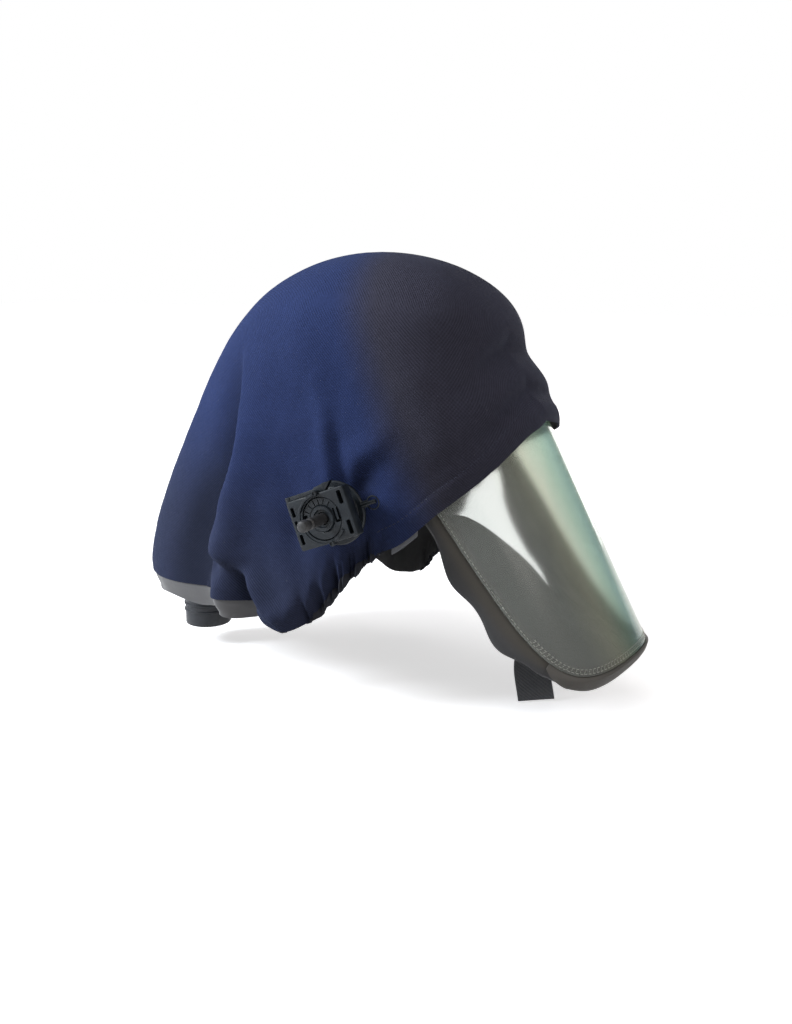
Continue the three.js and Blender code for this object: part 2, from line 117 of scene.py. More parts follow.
# a flat grid whose points are moved to their place: u runs across and v down, both from 0 to 1
def sheetGrid(name, columns, rows, place, uvSize):
    piece = added(bpy.ops.mesh.primitive_grid_add, x_subdivisions=columns, y_subdivisions=rows, size=2)
    piece.name = piece.data.name = name
    flat = pointsOf(piece)
    movePoints(piece, place((flat[:, 0] + 1) / 2, (1 - flat[:, 1]) / 2) * mm)
    uv = piece.data.uv_layers.active.data
    loops = np.zeros(len(uv) * 2, np.float32)
    uv.foreach_get("uv", loops)
    loops = loops.reshape(-1, 2) * np.array(uvSize, np.float32) * mm
    uv.foreach_set("uv", loops.ravel())
    return piece


# a grid piece with a thickness inwards from its outer face
def makeSheet(name, settings, place, material, node, smoothAngle=50):
    piece = sheetGrid(name, settings["columns"], settings["rows"], place, settings["uvSize"])
    closeSeams(piece)
    applyModifier(piece, "SOLIDIFY", thickness=settings["wall"] * mm, offset=-1)
    shadeSmooth(piece, smoothAngle)
    print(name, len(piece.data.polygons))
    return finishPiece(piece, material, node=node)


# smooth way from one value and its slope to the next, at the share t
def eased(t, first, firstSlope, last, lastSlope):
    t2, t3 = t * t, t * t * t
    start, end = 2 * t3 - 3 * t2 + 1, 3 * t2 - 2 * t3
    return start * first + (t3 - 2 * t2 + t) * firstSlope + end * last + (t3 - t2) * lastSlope


# smooth curve through a column of a table, evenly spaced by root where that is asked for
def readTable(table, key, column, value, root=False):
    x, y = np.array(table[key], float), np.array(table[column], float)
    value = np.asarray(value, float)
    if root:
        x, value = np.sqrt(x), np.sqrt(np.maximum(value, 0))
    order = np.arange(len(x))
    low, high = np.maximum(order - 1, 0), np.minimum(order + 1, len(x) - 1)
    slope = (y[high] - y[low]) / (x[high] - x[low])
    i = np.clip(np.searchsorted(x, value, side="right") - 1, 0, len(x) - 2)
    span = x[i + 1] - x[i]
    t = np.clip((value - x[i]) / span, 0, 1)
    return eased(t, y[i], span * slope[i], y[i + 1], span * slope[i + 1])


def smooth(x, low, high):
    t = np.clip((x - low) / (high - low), 0, 1)
    return t * t * (3 - 2 * t)


# 1, but falling to 0 over a share at each end
def heldEnds(x, share):
    return smooth(x, 0, share) * (1 - smooth(x, 1 - share, 1))


def bell(x):
    return np.exp(-x * x)


def turned(angle):
    return (angle + 540) % 360 - 180


# sum of sine waves, each a height, a count and a start
def waves(rows, x):
    return sum(height * np.sin(count * x + start) for height, count, start in rows)


# soft seeded unevenness: a few crossing waves
def ripple(a, b, seed, count, pitch):
    rng = random.Random(seed)
    total = np.zeros_like(a)
    for k in range(count):
        way, phase = rng.uniform(0, 2 * math.pi), rng.uniform(0, 2 * math.pi)
        wave = 2 * math.pi / (pitch * rng.uniform(0.5, 1.6))
        total += np.sin(wave * (a * math.cos(way) + b * math.sin(way)) + phase)
    return total / math.sqrt(count)


# cloth cover: angles run round from the front, to the right as positive, and depths run down from the top
cover = {
    "columns": 380, "rows": 124, "rowPower": 1.3, "uvSize": (720, 330), "wall": 1.6, "frontPower": 2.8,
    "backPower": 2.1, "browSpread": 30, "foldDegree": 2.1, "foldFull": 10, "rippleDegree": 1.9,
    "rippleFrom": (20, 110), "skirtOver": 20,
}
coverSections = {
    "depth": [0, 6, 14, 29, 45, 75, 114, 145, 191, 245, 300],
    "front": [0, 42, 63, 86, 99, 108, 131, 135, 135, 135, 135],
    "back": [0, 42, 63, 88, 105, 129, 149, 164, 187, 211, 216],
    "side": [0, 38, 56, 78, 92, 104, 110, 112, 113, 113, 110],
}
coverHem = {
    "angle": [0, 20, 46, 57, 66, 78, 86, 95, 102, 108, 116, 135, 155, 180],
    "right": [122, 134, 176, 198, 211, 231, 249, 268, 276, 274, 263, 258, 264, 264],
    "left": [122, 132, 152, 168, 190, 230, 256, 278, 287, 287, 282, 267, 264, 264],
}
hemBand = {
    "tall": 17, "step": 0.55, "soft": 1.5, "front": (60, 72), "back": (104, 112), "backTall": (12, 10),
    "backShare": 0.6, "groove": 0.5, "grooveWide": 1.3,
}
skirtFolds = [  # angle, lean, height, width, start
    (146, -4, -15, 11, 105), (127, -9, 14, 6, 100), (120, 0, -16, 4.5, 195), (113, 4, 6, 5, 195),
    (101, 4, 5, 8, 190), (-143, 5, -12, 12, 120), (-122, 6, 12, 7, 110), (-112, -2, -13, 6, 205),
    (-100, -8, 6, 8, 190),
]
browPuffs = [  # share of the depth, height, spread
    (0.44, 3, 0.08), (0.57, -3.5, 0.06), (0.7, 2.5, 0.07), (0.82, -4, 0.055), (0.95, 3, 0.08),
]
gather = {
    "from": 66, "to": 93, "lead": 8, "ease": 4, "fade": 14, "count": 4, "height": 2.6, "reach": 34, "tuck": 6,
    "fine": 6, "fineHeight": 2.1, "fineReach": 30, "draw": 8, "drawReach": 62,
}
unevenWaves = [(1.1, 0.9, 0), (0.6, 2.3, 1)]
clothRipples = [(0.5, 4, 70), (0.16, 9, 22)]  # height, seed, pitch
drapes = [  # shallow hanging folds: angle, depth, half height, half width, lean, height
    (-88, 168, 36, 6, -6, 2.5), (-97, 165, 40, 5, -8, -2.3), (165, 190, 60, 6, 2, 3),
    (-166, 190, 60, 6, -3, 3), (178, 200, 60, 5, 0, -2.5), (-128, 150, 50, 6, 5, 3),
    (-138, 150, 55, 7, 6, -3.5),
]
foldLines = [  # width towards the front, width towards the back, then angle, depth, height along the fold
    (26, 6, (127, 68, 0), (121, 105, 5), (119.5, 132, 8), (121, 156, 9), (126, 187, 7), (133, 212, 4),
     (136, 240, 2)),
    (7, 24, (134, 66, 0), (127.5, 105, -8), (125.5, 132, -11), (127, 156, -12), (132, 187, -12),
     (139, 212, -9), (142, 245, -3)),
    (14, 5, (138, 206, 0), (128, 219, 4), (120.2, 227, 8), (113.5, 246, 8), (107.5, 264, 6)),
    (6, 11, (131, 232, -6), (124, 240, -10), (117, 256, -9)),
    (10, 9, (120, 208, 0), (115.8, 228, -4), (110, 240, -5), (105, 250, -4), (100, 262, 0)),
    (12, 12, (102, 266, 2), (95, 258, 4), (88, 247, 4), (80, 232, 2)),
    (11, 11, (74, 174, -6), (70.5, 164, -9), (67.5, 152, -5)),
    (10, 10, (73, 142, 2), (67.8, 133, 4.5), (63, 122, 2)),
    (16, 14, (158, 80, 0), (157, 130, 4), (158, 200, 6), (160, 250, 4)),
    (7, 7, (78, 156, -4), (79.8, 130, -3), (82, 106, 0)),
    (8, 9, (83, 156, 3), (84.8, 118, 3), (89, 90, 1)),
    (18, 18, (110, 30, 0), (100, 60, 2), (92, 88, 2), (85, 113, 1)),
    (12, 12, (99, 165, -2), (98, 200, -4), (96, 225, -2)),
    (12, 12, (60, 60, 0), (54, 90, 1.5), (46, 130, 2), (40, 150, 1)),
]


# height of the fold lines at a point, measured flat over the cloth
def foldHeight(side, depth):
    total = np.zeros_like(depth)
    degree = cover["foldDegree"]
    for ahead, behind, *line in foldLines:
        nearest = np.full(depth.shape, np.inf)
        height, sign = np.zeros_like(depth), np.ones_like(depth)
        for (a0, d0, h0), (a1, d1, h1) in zip(line, line[1:]):
            ax, ay = (a1 - a0) * degree, d1 - d0
            px, py = turned(side - a0) * degree, depth - d0
            t = np.clip((px * ax + py * ay) / (ax * ax + ay * ay), 0, 1)
            away = np.hypot(px - t * ax, py - t * ay)
            closer = away < nearest
            nearest = np.where(closer, away, nearest)
            height = np.where(closer, h0 + (h1 - h0) * t, height)
            sign = np.where(closer, np.where(px * ay - py * ax > 0, 1, -1), sign)
        total = total + height * bell(nearest / np.where(sign > 0, behind, ahead))
    return total


def hemDepth(angle):
    side = turned(angle)
    right = readTable(coverHem, "angle", "right", np.abs(side))
    left = readTable(coverHem, "angle", "left", np.abs(side))
    return np.where(side >= 0, right, left)


def plainReach(side, depth):
    forward, sideways = np.cos(np.radians(side)), np.abs(np.sin(np.radians(side)))
    columns = ("front", "back", "side")
    ahead, behind, beside = (readTable(coverSections, "depth", name, depth, True) for name in columns)
    power = np.where(forward > 0, cover["frontPower"], cover["backPower"])
    far = np.maximum(np.where(forward > 0, ahead, behind), tiny)
    share = (np.abs(forward) / far) ** power + (sideways / np.maximum(beside, tiny)) ** power
    return np.where(depth > tiny, share ** (-1 / power), 0)


def gatherShare(away):
    entry = smooth(away, gather["from"] - gather["lead"], gather["from"] + gather["ease"])
    return entry * (1 - smooth(away, gather["to"], gather["to"] + gather["fade"]))


# the skirt's and the brow's large folds and the broad gathers above the ear edge
def largeFolds(side, depth, hem):
    total = np.zeros_like(depth)
    for at, lean, height, width, start in skirtFolds:
        grown = smooth(depth, start, hem + cover["skirtOver"])
        total = total + height * grown * bell(turned(side - at - lean * (1 - grown)) / width)
    for at, height, spread in browPuffs:
        total = total + height * bell(side / cover["browSpread"]) * bell((depth / hem - at) / spread)
    away = np.abs(side)
    nearHem = smooth(depth, hem - gather["reach"], hem)
    along = (away - gather["from"]) / (gather["to"] - gather["from"])
    wave = np.cos(2 * math.pi * gather["count"] * along)
    return total + gatherShare(away) * nearHem * (gather["height"] * wave - gather["tuck"] * nearHem)


# narrow uneven gathers, and the draw of the elastic
def fineGathers(away, depth, hem):
    along = (away + waves(unevenWaves, away) - gather["from"]) / (gather["to"] - gather["from"])
    small = smooth(depth, hem - gather["fineReach"], hem) * np.cos(2 * math.pi * gather["fine"] * along)
    drawn = smooth(depth, hem - gather["drawReach"], hem) ** 2
    return gatherShare(away) * (gather["fineHeight"] * small - gather["draw"] * drawn)


# the sewn hem: a low step, with a groove along its seam in front
def hemShape(away, depth, hem):
    seam = hem - hemBand["tall"]
    atFront = 1 - smooth(away, *hemBand["front"])
    high, low = hemBand["backTall"]
    atBack = smooth(away, *hemBand["back"]) * smooth(depth, hem - high, hem - low)
    band = smooth(depth, seam - hemBand["soft"], seam + hemBand["soft"])
    groove = hemBand["groove"] * bell((depth - seam) / hemBand["grooveWide"]) * atFront
    return hemBand["step"] * (band * atFront + hemBand["backShare"] * atBack) - groove


def coverReach(angle, depth, fine=True):
    side, hem = turned(angle), hemDepth(angle)
    away = np.abs(side)
    reach = plainReach(side, depth) + largeFolds(side, depth, hem)
    if not fine:
        return reach
    reach = reach + fineGathers(away, depth, hem) + foldHeight(side, depth)
    for at, deep, tall, width, lean, height in drapes:
        up = (depth - deep) / tall
        reach = reach + height * bell(up) * bell(turned(side - at - lean * up) / width)
    settled = smooth(depth, *cover["rippleFrom"])
    for height, seed, pitch in clothRipples:
        reach = reach + settled * height * ripple(side * cover["rippleDegree"], depth, seed, 9, pitch)
    return reach + hemShape(away, depth, hem)


def coverPoint(angle, depth, inset=0, fine=True):
    reach = coverReach(angle, depth, fine) - inset
    theta = np.radians(angle)
    return np.stack([-np.sin(theta) * reach, -np.cos(theta) * reach, cover["wall"] - depth], -1)


# clear visor, a bent sheet: arc is along the bend, down its length, inset behind its outer face
visor = {
    "topY": -126.3, "topZ": -109.5, "lean": 27, "radius": 95, "halfArc": 126, "length": 196, "corner": 6,
    "taper": 0.25, "wall": 1.2, "columns": 120, "rows": 80, "uvSize": (252, 196),
}
leanAngle = math.radians(visor["lean"])
visorTop = np.array([0, visor["topY"], visor["topZ"]])
visorAside = np.array([-1, 0, 0])
visorDown = np.array([0, -math.sin(leanAngle), -math.cos(leanAngle)])
visorOut = np.array([0, -math.cos(leanAngle), math.sin(leanAngle)])
outlineStep = 0.002


def onVisor(arc, down, inset=0.0):
    turn, radius = arc / visor["radius"], visor["radius"] - inset
    aside, out = radius * np.sin(turn), radius * np.cos(turn) - visor["radius"]
    return visorTop + aside[:, None] * visorAside + down[:, None] * visorDown + out[:, None] * visorOut


def inOutline(x, y):
    size = np.maximum(np.maximum(np.abs(x), y), tiny)
    power = visor["corner"]
    edge = np.maximum((np.abs(x) / size) ** power + (y / size) ** power, tiny) ** (-1 / power)
    return visor["halfArc"] * x * edge * (1 - visor["taper"] * y * edge), visor["length"] * y * edge


# way runs along the outline from the right temple (0) round the chin to the left temple (1)
def onOutline(way):
    return inOutline(np.clip(3 - 6 * way, -1, 1), np.clip(3 * np.minimum(way, 1 - way), 0, 1))


def besideOutline(way, offset, inset):
    pArc, pDown = onOutline(np.maximum(way - outlineStep, 0))
    qArc, qDown = onOutline(np.minimum(way + outlineStep, 1))
    length = np.hypot(qArc - pArc, qDown - pDown)
    alongArc, alongDown = (qArc - pArc) / length, (qDown - pDown) / length
    arc, down = onOutline(way)
    return onVisor(arc + alongDown * offset, down - alongArc * offset, inset)


# 0 at both temples and 1 at the chin
def chinShare(way):
    return 1 - np.abs(2 * way - 1)


# a smooth line through a few stations, each an array of points
def throughStations(stations, v):
    knots = [np.zeros(stations[0].shape[:-1])]
    for a, b in zip(stations, stations[1:]):
        knots.append(knots[-1] + np.sqrt(np.maximum(np.linalg.norm(b - a, axis=-1), tiny)))
    count = len(stations) - 1
    at = v * count
    i = np.clip(at.astype(int), 0, count - 1)
    stack, knot, rows = np.stack(stations), np.stack(knots)[..., None], np.arange(len(v))
    near = [np.clip(i + k, 0, count) for k in (-1, 0, 1, 2)]
    p0, p1, p2, p3 = (stack[k, rows] for k in near)
    t0, t1, t2, t3 = (knot[k, rows] for k in near)
    step = t2 - t1
    return eased((at - i)[:, None], p1, (p2 - p0) / (t2 - t0) * step, p2, (p3 - p1) / (t3 - t1) * step)


# material kit: each helper adds its node to the tree of the socket that it is given first
def newMaterial(name, sockets):
    material = bpy.data.materials.new(name)
    material.use_nodes = True
    shader = material.node_tree.nodes["Principled BSDF"].inputs
    for key, value in sockets.items():
        shader[key].default_value = value
    return material, shader


def addNode(tree, kind, **settings):
    node = tree.nodes.new(kind)
    for key, value in settings.items():
        if key in node.inputs:
            node.inputs[key].default_value = value
        else:
            setattr(node, key, value)
    return node


def feed(socket, value):
    if isinstance(value, bpy.types.NodeSocket):
        socket.id_data.links.new(value, socket)
    else:
        socket.default_value = value


def calc(operation, first, second=0.0):
    node = addNode(first.id_data, "ShaderNodeMath", operation=operation)
    feed(node.inputs[0], first)
    feed(node.inputs[1], second)
    return node.outputs[0]


def times(first, second):
    return calc("MULTIPLY", first, second)


def plus(first, second):
    return calc("ADD", first, second)


def splitOf(vector):
    node = addNode(vector.id_data, "ShaderNodeSeparateXYZ")
    feed(node.inputs[0], vector)
    return node.outputs


def rangeOf(value, span, ends=(0.0, 1.0), kind="SMOOTHSTEP"):
    node = addNode(value.id_data, "ShaderNodeMapRange", interpolation_type=kind)
    sockets = ("Value", "From Min", "From Max", "To Min", "To Max")
    for key, number in zip(sockets, (value, *span, *ends)):
        feed(node.inputs[key], number)
    return node.outputs[0]


def noiseOf(place, scale, detail, rough=0.5):
    node = addNode(place.id_data, "ShaderNodeTexNoise", Scale=scale, Detail=detail, Roughness=rough)
    feed(node.inputs["Vector"], place)
    return node.outputs["Fac"]


def rampOf(value, stops):
    node = addNode(value.id_data, "ShaderNodeValToRGB")
    elements = node.color_ramp.elements
    elements[0].position, elements[0].color = stops[0]
    elements[1].position, elements[1].color = stops[-1]
    for at, color in stops[1:-1]:
        elements.new(at).color = color
    feed(node.inputs["Fac"], value)
    return node.outputs["Color"]


def greyRamp(value, *stops):
    return rampOf(value, [(at, (grey, grey, grey, 1)) for at, grey in stops])


def mixColor(share, first, second):
    node = addNode(share.id_data, "ShaderNodeMix", data_type="RGBA")
    for index, value in ((0, share), (6, first), (7, second)):
        feed(node.inputs[index], value)
    return node.outputs[2]


def bumpOf(height, strength, distance, below=None):
    node = addNode(height.id_data, "ShaderNodeBump", Strength=strength, Distance=distance)
    feed(node.inputs["Height"], height)
    if below:
        feed(node.inputs["Normal"], below)
    return node.outputs["Normal"]


# twill cloth: scales of its noises, spans of its painted shade in metres or fold heights, shares of each
twill = {
    "sheenRough": 0.45, "gloss": 0.12, "sharp": 6.0, "wobble": 260, "fade": 14, "slub": 900, "lint": 700,
    # lean and span of the painted shade towards the bottom and back, in metres
    "lintColor": (0.3, 0.3, 0.32, 1), "lowShadeLean": -0.35, "lowShadeSpan": (-0.27, -0.14),
    # span of the painted shade in the hollows of the folds, in fold heights
    "creaseShadeSpan": (-1.3, 0.0), "relief": 0.00035, "lineShare": 0.5, "wobbleShare": 0.7, "contrast": 0.5,
    "middle": 0.3, "fadeShare": 0.55, "slubShare": 0.55, "lintShare": 0.12, "lineHigh": 0.6, "slubHigh": 0.9,
}


# slanted lines seen from each of three sides, mixed by where the cloth faces
def twillLines(at, facing, pitch, slant):
    summed, total = 0.0, 0.001
    for side, first, second in ("XYZ", "YXZ", "ZXY"):
        weight = calc("POWER", calc("ABSOLUTE", facing[side]), twill["sharp"])
        along = plus(times(at[first], math.cos(slant)), times(at[second], math.sin(slant)))
        lines = calc("SINE", times(along, 2 * math.pi / pitch))
        summed = plus(times(lines, weight), summed)
        total = plus(weight, total)
    return calc("DIVIDE", summed, total)


def clothTwill(name, settings):
    material, shader = newMaterial(name, {
        "Roughness": settings["rough"], "Specular IOR Level": twill["gloss"], "Sheen Tint": settings["tint"],
        "Sheen Weight": settings["sheen"], "Sheen Roughness": twill["sheenRough"],
    })
    coords = addNode(material.node_tree, "ShaderNodeTexCoord").outputs
    place, at = coords["Object"], splitOf(coords["Object"])
    lines = twillLines(at, splitOf(coords["Normal"]), settings["pitch"], math.radians(settings["slant"]))
    wobble = times(noiseOf(place, twill["wobble"], 1.0), twill["wobbleShare"])
    yarn = plus(times(lines, twill["lineShare"]), wobble)
    weave = plus(times(yarn, twill["contrast"]), twill["middle"])
    slub = noiseOf(place, twill["slub"], 2.0, 0.7)
    fade = noiseOf(place, twill["fade"], 3.0)
    low = plus(at["Z"], times(at["Y"], twill["lowShadeLean"]))
    forward = plus(at["Y"], times(at["Z"], settings["frontShadeLean"]))
    lint = greyRamp(noiseOf(place, twill["lint"], 0.0), (0.845, 0), (0.86, 1))
    fold = addNode(material.node_tree, "ShaderNodeAttribute", attribute_name="fold").outputs["Fac"]
    lowShadeColor = mixColor(weave, settings["lowShadeDark"], settings["lowShadeLight"])
    frontShadeColor = mixColor(weave, settings["frontShadeDark"], settings["frontShadeLight"])
    base = mixColor(weave, settings["dark"], settings["light"])
    for share, color in (
        (times(fade, twill["fadeShare"]), settings["faded"]),
        (times(slub, twill["slubShare"]), settings["dark"]),
        # painted shade: darker and greyer towards the bottom and back
        (rangeOf(low, twill["lowShadeSpan"], (settings["lowShade"], 0.0)), lowShadeColor),
        # painted shade and sheen: darker and greyer towards the front
        (rangeOf(forward, settings["frontShadeSpan"], (settings["front"], 0.0)), frontShadeColor),
        (times(lint, twill["lintShare"]), twill["lintColor"]),
        # painted shade in the hollows of the folds
        (rangeOf(fold, twill["creaseShadeSpan"], (settings["creaseShade"], 0.0)), settings["deep"]),
    ):
        base = mixColor(share, base, color)
    feed(shader["Base Color"], base)
    height = plus(times(lines, twill["lineHigh"]), times(slub, twill["slubHigh"]))
    feed(shader["Normal"], bumpOf(height, settings["bump"], twill["relief"]))
    return material


# coated cloth: scales of its noises, spread of its roughness, heights of its relief
coating = {
    "grain": 1500, "mottle": 30, "soft": 55, "spread": 0.1, "grainShare": 0.3, "softBump": 0.35,
    "softRelief": 0.002, "grainRelief": 0.0002,
}


def clothCoated(name, rough, gloss, bump, dark, light, seam=None, seamColor=None):
    material, shader = newMaterial(name, {"Specular IOR Level": gloss})
    coords = addNode(material.node_tree, "ShaderNodeTexCoord").outputs
    grain = noiseOf(coords["Object"], coating["grain"], 2.0, 0.6)
    mottle = noiseOf(coords["Object"], coating["mottle"], 4.0)
    base = mixColor(mottle, dark, light)
    if seam:  # another shade towards the inner edge
        base = mixColor(rangeOf(splitOf(coords["UV"])["Y"], seam), base, seamColor)
    feed(shader["Base Color"], mixColor(times(grain, coating["grainShare"]), base, dark))
    spread = coating["spread"]
    feed(shader["Roughness"], greyRamp(mottle, (0.3, rough - spread), (0.7, rough + spread)))
    soft = noiseOf(coords["Object"], coating["soft"], 3.0)
    below = bumpOf(soft, coating["softBump"], coating["softRelief"])
    feed(shader["Normal"], bumpOf(grain, bump, coating["grainRelief"], below))
    return material


moulding = {"grain": 1800, "dust": 90, "smoother": 0.12, "rougher": 0.15, "relief": 0.00015}


def mouldedPlastic(name, rough, gloss, bump, color, dusty):
    material, shader = newMaterial(name, {"Specular IOR Level": gloss})
    place = addNode(material.node_tree, "ShaderNodeTexCoord").outputs["Object"]
    dust = noiseOf(place, moulding["dust"], 5.0, 0.65)
    feed(shader["Base Color"], mixColor(greyRamp(dust, (0.42, 0), (0.72, 1)), color, dusty))
    smoothest, roughest = rough - moulding["smoother"], rough + moulding["rougher"]
    feed(shader["Roughness"], greyRamp(dust, (0.3, smoothest), (0.75, roughest)))
    grain = noiseOf(place, moulding["grain"], 2.0, 0.6)
    feed(shader["Normal"], bumpOf(grain, bump, moulding["relief"]))
    return material


# clear sheet, tinted pale green by how far round the bend it is, with a paler band part way round that is a
# painted reflection
def clearPlastic(name, rough, index, clear, tint):
    material, shader = newMaterial(name, {"Roughness": rough, "IOR": index, "Transmission Weight": clear})
    half = visor["halfArc"] * mm
    across = splitOf(addNode(material.node_tree, "ShaderNodeTexCoord").outputs["UV"])["X"]
    fromMiddle = calc("ABSOLUTE", calc("SUBTRACT", across, half))
    feed(shader["Base Color"], rampOf(calc("DIVIDE", fromMiddle, half), tint))
    return material


navy = {
    "rough": 0.88, "sheen": 0.05, "tint": (0.45, 0.58, 1.0, 1), "pitch": 0.0015, "slant": -45, "bump": 0.7,
    "dark": (0.008, 0.013, 0.042, 1), "light": (0.034, 0.057, 0.182, 1), "faded": (0.036, 0.06, 0.185, 1),
    # painted shade in the hollows of the folds
    "creaseShade": 0.72, "deep": (0.006, 0.008, 0.018, 1),
    # painted shade: darker and greyer towards the bottom and back
    "lowShade": 0.85, "lowShadeDark": (0.016, 0.0195, 0.038, 1), "lowShadeLight": (0.04, 0.048, 0.09, 1),
    # painted shade and sheen: darker and greyer towards the front
    "front": 0.85, "frontShadeSpan": (-0.024, 0.016), "frontShadeLean": -0.44,
    "frontShadeDark": (0.0231, 0.02145, 0.0275, 1), "frontShadeLight": (0.0567, 0.05265, 0.0675, 1),
}
tabNavy = {
    **navy, "pitch": 0.0018, "front": 0.0, "lowShade": 0.0,
    "dark": (0.1, 0.105, 0.12, 1), "light": (0.25, 0.255, 0.27, 1), "faded": (0.3, 0.3, 0.31, 1),
}
navyTwill = clothTwill("navyTwill", navy)
tabCloth = clothTwill("tabTwill", tabNavy)
greyCloth = clothCoated(
    "greyCoatedCloth", 0.6, 0.35, 0.35, dark=(0.075, 0.071, 0.066, 1), light=(0.125, 0.118, 0.108, 1))
sealCloth = clothCoated(
    "sealCloth", 0.62, 0.3, 0.35, dark=(0.034, 0.0345, 0.037, 1), light=(0.06, 0.06, 0.063, 1),
    seam=(0.064, 0.08), seamColor=(0.082, 0.075, 0.064, 1))
liningCloth = clothCoated(
    "liningCloth", 0.5, 0.4, 0.3, dark=(0.08, 0.08, 0.084, 1), light=(0.14, 0.14, 0.145, 1))
innerCloth = clothCoated(
    "innerCloth", 0.85, 0.15, 0.4, dark=(0.07, 0.07, 0.073, 1), light=(0.12, 0.12, 0.125, 1))
elasticCloth = clothCoated(
    "elasticEdging", 0.85, 0.2, 0.6, dark=(0.012, 0.013, 0.018, 1), light=(0.03, 0.032, 0.042, 1))
darkPlastic = mouldedPlastic(
    "darkPlastic", 0.5, 0.3, 0.25, color=(0.0055, 0.0082, 0.0115, 1), dusty=(0.0135, 0.0185, 0.0245, 1))
inletPlastic = mouldedPlastic(
    "inletPlastic", 0.5, 0.4, 0.25, color=(0.014, 0.016, 0.021, 1), dusty=(0.03, 0.034, 0.042, 1))
paleStud = mouldedPlastic(
    "studPlastic", 0.45, 0.4, 0.2, color=(0.022, 0.022, 0.024, 1), dusty=(0.05, 0.05, 0.052, 1))
palePlastic = mouldedPlastic(
    "clipPlastic", 0.55, 0.4, 0.2, color=(0.11, 0.115, 0.13, 1), dusty=(0.19, 0.19, 0.2, 1))
paleThread = newMaterial("paleThread", {"Roughness": 0.8, "Base Color": (0.42, 0.42, 0.38, 1)})[0]
darkThread = newMaterial("navyThread", {"Roughness": 0.85, "Base Color": (0.03, 0.034, 0.06, 1)})[0]
# pale green tint, whose pale band at 0.34 is a painted reflection
clearSheet = clearPlastic("clearSheet", rough=0.16, index=1.3, clear=0.83, tint=[
    (0.0, (0.53, 0.77, 0.72, 1)), (0.14, (0.64, 0.83, 0.7, 1)), (0.34, (0.92, 0.95, 0.8, 1)),
    (0.62, (0.71, 0.74, 0.71, 1)),
])
print("materials ready")


# cover, with painted shade in its hollows, read from the fold heights that it stores
def coverPlace(u, v):
    angle = 360 * u - 180
    return coverPoint(angle, hemDepth(angle) * v ** cover["rowPower"])


hood = sheetGrid("hoodCover", cover["columns"], cover["rows"], coverPlace, cover["uvSize"])
closeSeams(hood)
coverAt = pointsOf(hood) / mm
around = np.degrees(np.arctan2(-coverAt[:, 0], -coverAt[:, 1]))
raised = np.hypot(coverAt[:, 0], coverAt[:, 1]) - plainReach(around, cover["wall"] - coverAt[:, 2])
# fold heights, which the cloth's material reads to paint shade into the hollows
foldShade = hood.data.attributes.new("fold", "FLOAT", "POINT")
foldShade.data.foreach_set("value", (raised / cover["foldFull"]).astype(np.float32))
hood.data.materials.append(navyTwill)
hood.data.materials.append(innerCloth)
applyModifier(hood, "SOLIDIFY", thickness=cover["wall"] * mm, offset=-1, material_offset=1)
shadeSmooth(hood, 60)
finishPiece(hood, None, node="cover")
print("hoodCover", len(hood.data.polygons))


# visor
def visorPlace(u, v):
    return onVisor(*inOutline(1 - 2 * u, v))


makeSheet("visorSheet", visor, visorPlace, clearSheet, "visor", 40)

# face seal: a strip round the visor's edge, rolled back to a slack inner edge
seal = {
    "columns": 220, "rows": 90, "wall": 1.4, "uvSize": (640, 90), "ends": 0.02, "margin": 5, "gap": 1,
    "roll": 6, "rollBack": 14, "rollShare": 0.6, "middle": 17, "middleShare": 0.55,
    "crease": 1.2, "creaseAt": 0.27, "creaseWide": 0.03,
}
slack = {
    "loose": (0.3, 0.5), "held": (0.92, 1), "sag": 1.3, "sagPitch": 46, "waveAt": 0.36, "waveSpread": 0.2,
    "wave": 2.6, "waveLength": 11.5, "waveStart": 0.8, "uneven": 0.9, "unevenPitch": 34,
    "turnAt": 0.44, "turnSpread": 0.14, "calm": (0.62, 0.8),
}
sealRows = {
    "share": [0, 0.16, 0.33, 0.5, 0.66, 0.86, 1],
    "strip": [7, 13, 19, 18, 10, 5, 4],
    "arcRight": [121, 117, 99, 75, 52, 20, 0], "arcLeft": [121, 132, 128, 116, 92, 36, 0],
    "downRight": [5, 41, 55, 78, 100, 131, 144], "downLeft": [5, 40, 60, 83, 106, 131, 144],
    "insetRight": [9, 9, 19, 32, 38, 45, 52], "insetLeft": [9, 16, 31, 42, 49, 53, 52],
}


def stripWidth(way):
    return readTable(sealRows, "share", "strip", chinShare(way))


def sealOpening(way):
    right = way <= 0.5
    arc, down, inset = (np.where(
        right, readTable(sealRows, "share", column + "Right", chinShare(way)),
        readTable(sealRows, "share", column + "Left", chinShare(way)),
    ) for column in ("arc", "down", "inset"))
    return onVisor(np.where(right, arc, -arc), down, inset)


def sealStations(way):
    strip, opening = stripWidth(way), sealOpening(way)
    behind = visor["wall"] + seal["gap"]
    share = seal["middleShare"]
    return [
        besideOutline(way, -seal["margin"], behind), besideOutline(way, strip / 2, behind),
        besideOutline(way, strip, seal["roll"]),
        besideOutline(way, strip * seal["rollShare"], seal["rollBack"]),
        besideOutline(way, 0, seal["middle"]) * share + opening * (1 - share), opening,
    ]


